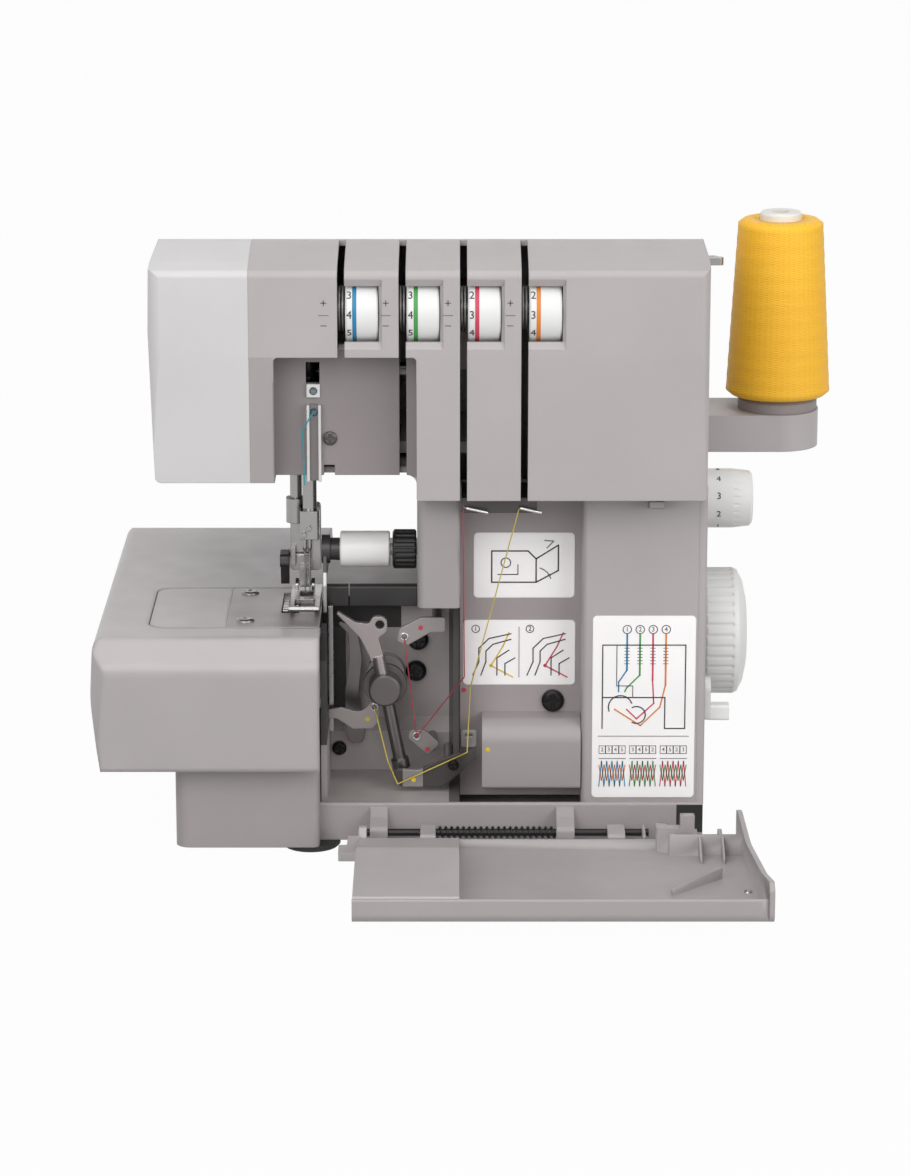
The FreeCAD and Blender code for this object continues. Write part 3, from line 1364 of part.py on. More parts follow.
def spool_pins():
    """Upright pins for the cones of thread, each on a collar that holds its pad."""
    steps = [
        (STAND_TOP_Z, PIN_COLLAR_RADIUS),
        (PAD_TOP_Z, PIN_COLLAR_RADIUS),
        (PAD_TOP_Z, PIN_RADIUS),
        (PIN_TOP_Z - 4, PIN_RADIUS),
        (PIN_TOP_Z, PIN_RADIUS - 2),
    ]
    return [turned("z", (x, PIN_Y, 0), steps) for x in PIN_XS]


def spool_parts():
    """Pads and one cone of thread on its core."""
    pads = []
    for x in PIN_XS:
        pad = turned(
            "z",
            (x, PIN_Y, 0),
            [(STAND_TOP_Z, PAD_RADIUS), (PAD_TOP_Z - 1.5, PAD_RADIUS), (PAD_TOP_Z, PAD_RADIUS - 1.5)],
        )
        pads.append(pad.cut(rod("z", (x, PIN_Y, STAND_TOP_Z - 1), PIN_COLLAR_RADIUS + TIGHT_FIT, 20)))
    x = PIN_XS[3]
    low = PAD_TOP_Z + 0.3
    core_radius = 11.0
    cone = turned("z", (x, PIN_Y, 0), [(low + 1, CONE_LOW_RADIUS), (CONE_TOP_Z, CONE_TOP_RADIUS)])
    cone = cone.cut(rod("z", (x, PIN_Y, low - 1), core_radius + TIGHT_FIT, 120))
    core_steps = [(low, core_radius), (CONE_TOP_Z + 3, core_radius), (CONE_TOP_Z + 4, 9)]
    core = turned("z", (x, PIN_Y, 0), core_steps)
    core = core.cut(rod("z", (x, PIN_Y, low - 1), PIN_RADIUS + 0.3, 120))
    return {
        "cone_pads": group(*pads),
        "thread_cone": group(cone, core),
    }


def pole_parts():
    """Telescopic thread pole, pushed down: fixed tube, middle tube and top rod with its guide bar."""
    base = tube("z", (POLE_X, POLE_Y, 112), 6, 4.6, 136)
    middle = tube("z", (POLE_X, POLE_Y, 116), 4.6 - RUN_FIT, 3.1, 136)
    top = rod("z", (POLE_X, POLE_Y, 120), 3.1 - RUN_FIT, 138)
    bar_plan = [(12, 187.5), (140, 187.5), (140, 191.5), (12, 191.5)]
    bar = prism(bar_plan, "xy", 256, 260, 1.9)
    eyes = []
    for x in (18, 55, 97, 134):
        eyes.append(tube("z", (x, 194.2, 256.6), 4, 1.8, 2.8))
    return {
        "pole_base_tube": base,
        "pole_middle_tube": middle,
        "pole_top_bar": fuse(top, bar, *eyes),
    }


def cover_floor_z(y):
    """Height of the looper cover's outer skin at a distance from the user, with the cover open."""
    share = (COVER_REAR_Y - y) / (COVER_REAR_Y - COVER_FRONT_Y)
    return COVER_REAR_Z + share * (COVER_FRONT_Z - COVER_REAR_Z)


def cover_lug(x0, x1):
    """Lug of the cover that runs on the hinge rod."""
    side = [
        (COVER_REAR_Y - 8, cover_floor_z(COVER_REAR_Y - 8) + 1),
        (COVER_REAR_Y - 8, HINGE_Z + 3.5),
        (HINGE_Y + 4.2, HINGE_Z + 4.2),
        (HINGE_Y + 4.2, HINGE_Z - 4.2),
        (COVER_REAR_Y, COVER_REAR_Z + 0.6),
    ]
    return prism(side, "yz", x0, x1, [0, 2, 4, 4, 0])


def cover_sheet(x0, x1):
    """Floor and front rim of the looper cover as one bent sheet."""
    top = COVER_FRONT_Z + COVER_RIM_HEIGHT
    side = [
        (COVER_REAR_Y, COVER_REAR_Z),
        (COVER_REAR_Y, COVER_REAR_Z + SKIN),
        (COVER_FRONT_Y + SKIN, cover_floor_z(COVER_FRONT_Y + SKIN) + SKIN),
        (COVER_FRONT_Y + SKIN, top),
        (COVER_FRONT_Y, top),
        (COVER_FRONT_Y, COVER_FRONT_Z),
    ]
    return prism(side, "yz", x0, x1, [0, 0, 2, 1, 1, 5])


def cover_wing():
    """Right end wall of the looper cover, curved along its upper edge."""
    side = [
        (COVER_REAR_Y - 4, cover_floor_z(COVER_REAR_Y - 4)),
        (COVER_REAR_Y - 4, 25.5),
        (-24, 26),
        (-62, 22.5),
        (-128, 30),
        (COVER_FRONT_Y + 4, 36),
        (COVER_FRONT_Y, 33),
        (COVER_FRONT_Y, COVER_FRONT_Z),
    ]
    wing = prism(side, "yz", -SKIN, 0, [0, 1, 4, 60, 60, 3, 3, 5])
    wing.rotate(point(0, COVER_FRONT_Y, 0), AXES["z"], 2.4)
    wing.translate(point(COVER_RIGHT, 0, 0))
    return wing


def looper_cover():
    """Open cover: sheet, right wing, rear wall, ribs, latch block and hinge lugs."""
    sheet = cover_sheet(COVER_LEFT, COVER_RIGHT - 0.5)
    corner = prism(
        [
            (COVER_LEFT, COVER_REAR_Y),
            (COVER_LEFT, COVER_FRONT_Y),
            (COVER_RIGHT, COVER_FRONT_Y),
            (COVER_RIGHT - 6.2, COVER_REAR_Y),
        ],
        "xy",
        0,
        60,
        [0, 0, 6, 0],
    )
    sheet = sheet.common(corner)
    rear_wall = block(COVER_SPLIT_X, 136, -27, -25, cover_floor_z(-25) + 0.5, 12.6)
    rear_rib = block(103.5, 138.2, -42, -40.2, cover_floor_z(-40) + 0.5, 20)
    ribs = [block(x, x + 2, -41, -26, cover_floor_z(-30) + 0.5, 18) for x in (103.5, 115.5, 127.5)]
    diagonal = block(-18, 22, -0.9, 0.9, 0, 6)
    diagonal.rotate(point(0, 0, 0), AXES["z"], 52)
    diagonal.translate(point(112, -103, cover_floor_z(-103) + 0.4))
    latch = prism(
        [(97.4, -34), (116, -34), (116, -29), (103, -29), (103, -25.5), (97.4, -25.5)], "xy", 7.5, 27, 0.8
    )
    latch = latch.cut(block(96, 109, -40, -20, 21, 30))
    lugs = [cover_lug(x0, x1) for x0, x1 in COVER_LUGS]
    shape = fuse(sheet, cover_wing(), rear_wall, rear_rib, *ribs, diagonal, latch, *lugs)
    return shape.cut(rod("x", (-60, HINGE_Y, HINGE_Z), HINGE_ROD_RADIUS + RUN_FIT, 200))


def chip_chute():
    """Hollow chute on the left of the cover, with a hook on its left end."""
    top = COVER_FRONT_Z + COVER_RIM_HEIGHT + 0.4

    def chute_side(inset, drop):
        return [
            (-26 - inset, cover_floor_z(-26) + SKIN + drop),
            (-26 - inset, 13.6 - inset),
            (-60, 21.5 - inset),
            (-86, top - inset),
            (COVER_FRONT_Y + SKIN + inset + 0.3, top - inset),
            (COVER_FRONT_Y + SKIN + inset + 0.3, cover_floor_z(COVER_FRONT_Y + 3) + SKIN + drop),
        ]

    radii = [0, 4, 30, 14, 1.5, 2.6]
    outer = prism(chute_side(0, 0.05), "yz", COVER_LEFT + 0.2, COVER_SPLIT_X, radii)
    hollow = prism(chute_side(2, -3), "yz", COVER_LEFT + 2.2, COVER_SPLIT_X - 2, [0, 2, 28, 12, 0, 0])
    hook = prism(
        [(-56, -58), (COVER_LEFT + 1, -58), (COVER_LEFT + 1, -32), (-52, -32), (-52, -46), (-56, -46)],
        "xy",
        12.2,
        16.5,
        [1, 0, 0, 1, 1, 1],
    )
    lug = cover_hook_lug()
    return fuse(outer.cut(hollow), hook, lug)


def cover_hook_lug():
    """Upright tab at the left end of the chute."""
    tab = [(-30, 9.5), (-30, 15), (-25.4, 18.5), (-22, 18.5), (-22, 9.5)]
    return prism(tab, "yz", COVER_LEFT + 0.2, COVER_LEFT + 4, [0, 1, 1, 1, 0])


def cover_hinge_parts():
    """Hinge rod and the long spring on it."""
    rod_left = -45.0
    rod_length = 140.0
    spring_length = SPRING_RIGHT - SPRING_LEFT - 2 * SPRING_WIRE_RADIUS
    return {
        "cover_hinge_rod": rod("x", (rod_left, HINGE_Y, HINGE_Z), HINGE_ROD_RADIUS, rod_length),
        "cover_spring": helix_tube(
            "x",
            (SPRING_LEFT + SPRING_WIRE_RADIUS, HINGE_Y, HINGE_Z),
            SPRING_COIL_RADIUS,
            SPRING_WIRE_RADIUS,
            spring_length,
            SPRING_TURNS,
        ),
    }


def sewing_lamp():
    """Lamp lens under the arm."""
    lens = turned("z", (-112, 62, 0), [(179.5, 5), (180.5, 8), (ARM_LOW_Z, 9)])
    return lens


def all_parts():
    """Every node's shape in the machine's working frame."""
    parts = {
        "base_pan": base_pan(),
        "rubber_feet": rubber_feet(),
        "main_casting": main_casting(),
        "bushes": bushes(),
        "front_panel": front_panel(),
        "looper_shaft_cover": looper_shaft_cover(),
        "right_side_cover": right_side_cover(),
        "rear_cover": rear_cover(),
        "extension_table": extension_table(),
        "free_arm": free_arm(),
        "needle_plate": needle_plate(),
        "feed_dogs": feed_dogs(),
        "bed_plate": bed_plate(),
        "black_screws": black_screws(),
        "needle_thread_plates": needle_thread_plates(),
        "head_thread_guide": head_thread_guide(),
        "looper_thread_guides": looper_thread_guides(),
        "threads": group(thread(RED_ROUTE), thread(YELLOW_ROUTE), thread(TEAL_ROUTE)),
        "stitch_length_dial": stitch_dial(),
        "differential_lever": differential_lever(),
        "power_switch": power_switch(),
        "power_inlet": power_inlet(),
        "spool_stand": spool_stand(),
        "looper_cover": looper_cover(),
        "chip_chute": chip_chute(),
        "sewing_lamp": sewing_lamp(),
    }
    for more in (
        head_parts(),
        tension_parts(),
        needle_parts(),
        needle_lever_parts(),
        presser_parts(),
        knife_parts(),
        looper_parts(),
        drive_parts(),
        spool_parts(),
        pole_parts(),
        cover_hinge_parts(),
    ):
        parts.update(more)
    return parts


def frame_shift(parts):
    """Move that puts the origin under the middle of the whole machine, on the table."""
    box = FreeCAD.BoundBox()
    for shape in parts.values():
        box.add(shape.optimalBoundingBox())
    return point(-(box.XMin + box.XMax) / 2, -(box.YMin + box.YMax) / 2, -box.ZMin)


def main():
    os.makedirs("parts", exist_ok=True)
    parts = all_parts()
    shift = frame_shift(parts)
    print("frame shift", [round(v, 3) for v in shift])
    for name, shape in sorted(parts.items()):
        shape.translate(shift)
        shape.exportStep("parts/" + name + ".step")
        print(name, "solids", len(shape.Solids), "valid", shape.isValid(), "volume", round(shape.Volume))


if __name__ == "__main__":
    main()
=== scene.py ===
"""Looks of a household overlock machine: camera, soft light, finishes and printed details on its frame."""

import logging
import math
from dataclasses import dataclass, field
from enum import Enum
from functools import cache
from typing import Iterable, Mapping, Optional, Sequence, Union

import bmesh
import bpy
from mathutils import Matrix, Vector


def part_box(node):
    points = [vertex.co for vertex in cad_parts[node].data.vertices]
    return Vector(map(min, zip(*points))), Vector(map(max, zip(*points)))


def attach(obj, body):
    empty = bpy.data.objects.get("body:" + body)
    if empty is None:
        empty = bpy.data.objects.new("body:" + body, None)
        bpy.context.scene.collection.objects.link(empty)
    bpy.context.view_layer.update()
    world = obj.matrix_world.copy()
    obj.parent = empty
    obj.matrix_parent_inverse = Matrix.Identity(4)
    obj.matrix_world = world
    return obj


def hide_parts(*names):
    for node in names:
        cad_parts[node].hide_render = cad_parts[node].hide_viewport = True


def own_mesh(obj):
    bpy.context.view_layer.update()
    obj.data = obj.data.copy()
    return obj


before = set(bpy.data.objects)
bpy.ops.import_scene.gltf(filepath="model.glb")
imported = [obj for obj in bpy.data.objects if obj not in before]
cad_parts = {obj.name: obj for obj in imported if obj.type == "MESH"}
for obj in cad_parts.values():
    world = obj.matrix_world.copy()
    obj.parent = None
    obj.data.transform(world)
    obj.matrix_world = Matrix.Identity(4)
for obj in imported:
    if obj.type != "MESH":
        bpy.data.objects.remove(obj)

LOG = logging.getLogger("overlock")
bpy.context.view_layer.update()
MM = 0.001
ROOT_BODY = "machine"

# The maker's drawing is in millimetres from a point of its own.
# The needle plate's corner ties it to the frame.
PLATE_LEFT_MM = -111.5
PLATE_FRONT_MM = 3.0

# Print is a thin layer on its ground; these are in millimetres.
PRINT_THICKNESS = 0.08
STROKE_LIFT = 0.02
STROKE_OVERLAP = 0.6
DOT_LIFT = 0.03
FIGURE_LIFT = 0.04
FONT_SIZE_PER_HEIGHT = 1.4

# A noise value mostly lies between these two, so they are its darkest and its lightest.
CLOUD_LOW = 0.3
CLOUD_HIGH = 0.7
CLOUD_DETAIL = 4.0
FINE_DETAIL = 3.0

# Points closer than these, in metres, are one: on a new piece, and on a copy of a node.
NEW_MERGE = 1e-7
COPY_MERGE = 1e-6

# The colour sockets of a mix node share their names with others, so they go by index.
MIX_SHARE = 0
MIX_FIRST = 6
MIX_SECOND = 7
MIX_RESULT = 2

FULL_WHITE = (1, 1, 1, 1)

Mesh = bmesh.types.BMesh
Piece = bpy.types.Object
Material = bpy.types.Material
Socket = bpy.types.NodeSocket
Point = Sequence[float]
Triple = tuple[float, float, float]
Colour = tuple[int, int, int]
Limits = tuple[Optional[float], Optional[float]]
ANY: Limits = (None, None)


class Ink(Enum):
    """Printing inks of the charts, dials and marks, as screen colours."""

    BLACK = (38, 36, 38)
    GREY = (120, 114, 114)
    BLUE = (30, 128, 170)
    GREEN = (72, 150, 74)
    RED = (205, 66, 92)
    ORANGE = (222, 130, 44)
    YELLOW = (226, 196, 60)
    TEAL = (52, 150, 166)
    WHITE = (255, 253, 253)


# Inks of the four threads, from the left needle's to the lower looper's.
THREAD_INKS = (Ink.BLUE, Ink.GREEN, Ink.RED, Ink.ORANGE)


def linear(colour: Colour) -> tuple[float, ...]:
    """Screen colour as the shader's linear values, by the usual screen curve.

    Args:
        colour: Red, green and blue from 0 to 255.

    Returns:
        Linear red, green, blue and full alpha.
    """
    parts = []
    for channel in colour:
        share = channel / 255
        parts.append(share / 12.92 if share <= 0.04045 else ((share + 0.055) / 1.055) ** 2.4)
    return (*parts, 1.0)


@dataclass(frozen=True)
class Drawing:
    """Turns places on the maker's drawing into places in the frame."""

    origin_x: float
    origin_y: float

    @classmethod
    def from_frame(cls) -> "Drawing":
        """Ties the drawing to the needle plate's front left corner."""
        low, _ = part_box("needle_plate")
        return cls(low.x - PLATE_LEFT_MM * MM, low.y - PLATE_FRONT_MM * MM)

    def at(self, x: float, y: float, z: float) -> Vector:
        """Place in the frame, in metres, of a place on the drawing in millimetres."""
        return Vector((self.origin_x + x * MM, self.origin_y + y * MM, z * MM))


DRAWING = Drawing.from_frame()


class NodeSheet:
    """Lays out shader nodes in one tree."""

    def __init__(self, tree: bpy.types.NodeTree) -> None:
        """Starts with an empty tree."""
        self.tree = tree
        self.tree.nodes.clear()

    def fill(self, node: bpy.types.Node, values: Mapping[object, object]) -> None:
        """Sets a node's inputs, or links them where the value is another node's output.

        Args:
            node: The node.
            values: Number, colour or socket for each input's name or index.
        """
        for key, value in values.items():
            if isinstance(value, Socket):
                self.tree.links.new(value, node.inputs[key])
            else:
                node.inputs[key].default_value = value

    def add(self, kind: str, values: Mapping[object, object], **settings: object) -> bpy.types.Node:
        """New node with its inputs filled.

        Args:
            kind: The node's type.
            values: What fills its inputs.
            settings: The node's own settings.

        Returns:
            The node.
        """
        node = self.tree.nodes.new(kind)
        for key, value in settings.items():
            setattr(node, key, value)
        self.fill(node, values)
        return node

    def sum(self, kind: str, first: object, second: object = 0.0) -> Socket:
        """One step of arithmetic on sockets or numbers."""
        return self.add("ShaderNodeMath", {0: first, 1: second}, operation=kind).outputs["Value"]

    def mix(self, output: str, share: object, first: bpy.types.Node, second: bpy.types.Node) -> None:
        """Sends a mix of two shaders to the tree's output, the second by a share."""
        mixed = self.add("ShaderNodeMixShader", {"Fac": share, 1: first.outputs[0], 2: second.outputs[0]})
        self.add(output, {"Surface": mixed.outputs["Shader"]})

    def seen_directly(self) -> Socket:
        """Value that is 1 for rays from the camera, from a mirror or through glass.

        Returns:
            The value's socket.
        """
        ray = self.add("ShaderNodeLightPath", {}).outputs
        mirrored = self.sum("MAXIMUM", ray["Is Camera Ray"], ray["Is Glossy Ray"])
        return self.sum("MAXIMUM", mirrored, ray["Is Transmission Ray"])


class NodeBench(NodeSheet):
    """Lays out the shader nodes of one material."""

    def __init__(self, name: str) -> None:
        """Starts a material with a principled shader and object coordinates.

        Args:
            name: The material's name.
        """
        self.material = bpy.data.materials.new(name)
        self.material.use_nodes = True
        super().__init__(self.material.node_tree)
        self.shader = self.add("ShaderNodeBsdfPrincipled", {})
        self.add("ShaderNodeOutputMaterial", {"Surface": self.shader.outputs["BSDF"]})
        self.place = self.add("ShaderNodeTexCoord", {}).outputs["Object"]

    def axes(self) -> bpy.types.bpy_prop_collection:
        """X, Y and Z in the frame."""
        return self.add("ShaderNodeSeparateXYZ", {"Vector": self.place}).outputs

    def noise(self, scale: float, detail: float, stretch: Sequence[float] = (1, 1, 1)) -> Socket:
        """Cloudy value between 0 and 1.

        Args:
            scale: Clouds per metre.
            detail: Octaves of finer clouds.
            stretch: Scale along each axis, to draw the clouds out.

        Returns:
            The value's socket.
        """
        place = self.add("ShaderNodeMapping", {"Vector": self.place, "Scale": stretch}).outputs["Vector"]
        cloud = self.add("ShaderNodeTexNoise", {"Vector": place, "Scale": scale, "Detail": detail})
        return cloud.outputs["Fac"]

    def spread(self, value: Socket, low: float, high: float) -> Socket:
        """A cloudy value moved into the range from low to high."""
        limits = {"From Min": CLOUD_LOW, "From Max": CLOUD_HIGH, "To Min": low, "To Max": high}
        return self.add("ShaderNodeMapRange", {"Value": value, **limits}).outputs["Result"]

    def blend(self, share: object, first: object, second: object, mode: str = "MIX") -> Socket:
        """Mix of two colours, the second by a share; each is a socket or a plain value."""
        values = {MIX_SHARE: share, MIX_FIRST: first, MIX_SECOND: second}
        return self.add("ShaderNodeMix", values, data_type="RGBA", blend_type=mode).outputs[MIX_RESULT]

    def between(self, share: object, first: object, second: float) -> Socket:
        """Value that goes from the first to the second by a share."""
        rest = self.sum("SUBTRACT", 1.0, share)
        return self.sum("ADD", self.sum("MULTIPLY", first, rest), self.sum("MULTIPLY", second, share))

    def shaded(self, colour: Colour, grey: Socket) -> Socket:
        """A colour made lighter and darker by a value round 1."""
        return self.blend(1.0, linear(colour), grey, "MULTIPLY")

    def within(self, limits: Sequence[Limits]) -> Socket:
        """Value that is 1 inside a box in the frame and 0 outside it.

        Args:
            limits: The box's low and high bound along each axis; None leaves a side open.

        Returns:
            The value's socket.
        """
        inside: object = 1.0
        for axis, bounds in zip(self.axes(), limits):
            for test, bound in zip(("GREATER_THAN", "LESS_THAN"), bounds):
                if bound is not None:
                    inside = self.sum("MULTIPLY", inside, self.sum(test, axis, bound))
        return inside

    def relief(self, height: Socket, strength: float, depth: float, edge: float) -> None:
        """Fine relief from a height, on edges that are softened as a moulding's are.

        Args:
            height: Socket that gives the height.
            strength: Share of the relief that shows.
            depth: Most height, in metres.
            edge: Radius of the softened edges, in metres.
        """
        soft = self.add("ShaderNodeBevel", {"Radius": edge}, samples=4).outputs["Normal"]
        bump = {"Strength": strength, "Distance": depth, "Height": height, "Normal": soft}
        self.fill(self.shader, {"Normal": self.add("ShaderNodeBump", bump).outputs["Normal"]})


@dataclass(frozen=True)
class Patch:
    """Part of a piece in another finish, or painted with shade or a highlight, bounded by places on the
    drawing in millimetres.
    """

    x: Limits
    y: Limits
    z: Limits
    colour: Colour
    roughness: float = 0.4
    metallic: float = 0.0

    def limits(self) -> list[Limits]:
        """The same bounds in the frame's metres.

        Returns:
            Low and high bound along each axis.
        """
        zero = DRAWING.at(0, 0, 0)
        moved = []
        for bounds, start in zip((self.x, self.y, self.z), zero):
            moved.append(tuple(None if bound is None else bound * MM + start for bound in bounds))
        return moved


@dataclass(frozen=True)
class Finish:
    """A surface: cloudy colour and gloss, fine relief, patches of other finishes and of painted shade and
    highlight, and its nodes.
    """

    name: str
    colour: Colour
    roughness: float = 0.4
    metallic: float = 0.0
    clouds: float = 0.03
    cloud_scale: float = 22.0
    wear: float = 0.05
    wear_scale: float = 60.0
    grain: float = 0.08
    grain_scale: float = 1500.0
    grain_depth: float = 0.00012
    stretch: Triple = (1.0, 1.0, 1.0)
    coat: float = 0.0
    edge: float = 0.0007
    patches: tuple[Patch, ...] = ()
    nodes: tuple[str, ...] = ()

    @cache
    def make(self) -> Material:
        """Builds the material, at the first call only.

        Returns:
            The material.
        """
        bench = NodeBench(self.name)
        clouds = bench.noise(self.cloud_scale, CLOUD_DETAIL)
        tone = bench.spread(clouds, 1 - self.clouds, 1 + self.clouds)
        colour = bench.shaded(self.colour, tone)
        streaks = bench.noise(self.grain_scale, FINE_DETAIL, self.stretch)
        smudges = bench.noise(self.wear_scale, FINE_DETAIL)
        gloss = bench.spread(smudges, self.roughness - self.wear, self.roughness + self.wear)
        metal: object = self.metallic
        for patch in self.patches:
            share = bench.within(patch.limits())
            colour = bench.blend(share, colour, bench.shaded(patch.colour, tone))
            gloss = bench.between(share, gloss, patch.roughness)
            metal = bench.between(share, metal, patch.metallic)
        bench.fill(bench.shader, {"Base Color": colour, "Roughness": gloss, "Metallic": metal})
        bench.fill(bench.shader, {"Coat Weight": self.coat})
        bench.relief(streaks, self.grain, self.grain_depth, self.edge)
        return bench.material


@dataclass(frozen=True)
class WoundThread:
    """Thread wound crosswise on a cone: two sets of fine lines that cross on its side."""

    name: str
    colour: Colour
    shade: Colour
    axis_x: float
    axis_y: float
    turns: float = 26.0
    rise: float = 5200.0
    band_scale: float = 35.0
    band_stretch: Triple = (0.4, 0.4, 2.2)
    band_share: float = 0.35
    roughness: float = 0.55
    sheen: float = 0.06

    def make(self) -> Material:
        """Builds the material.

        Returns:
            The material.
        """
        bench = NodeBench(self.name)
        axes = bench.axes()
        across = bench.sum("SUBTRACT", axes["X"], self.axis_x)
        along = bench.sum("SUBTRACT", axes["Y"], self.axis_y)
        angle = bench.sum("ARCTAN2", along, across)
        height = bench.sum("MULTIPLY", axes["Z"], self.rise)
        turn = bench.sum("MULTIPLY", angle, self.turns)
        rising = bench.sum("SINE", bench.sum("ADD", height, turn))
        falling = bench.sum("SINE", bench.sum("SUBTRACT", height, turn))
        lines = bench.sum("MAXIMUM", rising, falling)
        share = bench.sum("MULTIPLY", bench.sum("ADD", lines, 1.0), 0.5)
        bands = bench.noise(self.band_scale, FINE_DETAIL, self.band_stretch)
        bands = bench.spread(bands, 0.0, self.band_share)
        colour = bench.blend(share, linear(self.shade), linear(self.colour))
        colour = bench.blend(bands, colour, linear(self.shade))
        look = {"Base Color": colour, "Roughness": self.roughness, "Sheen Weight": self.sheen}
        bench.fill(bench.shader, look)
        bench.relief(share, strength=0.5, depth=0.00025, edge=0.0005)
        return bench.material


Surface = Union[Finish, WoundThread]

PANEL_GREY = (174, 168, 168)

# Brushed metal has its grain drawn out along one axis.
DRAWN_UPRIGHT = (1.0, 1.0, 0.06)
DRAWN_ACROSS = (0.05, 1.0, 1.0)

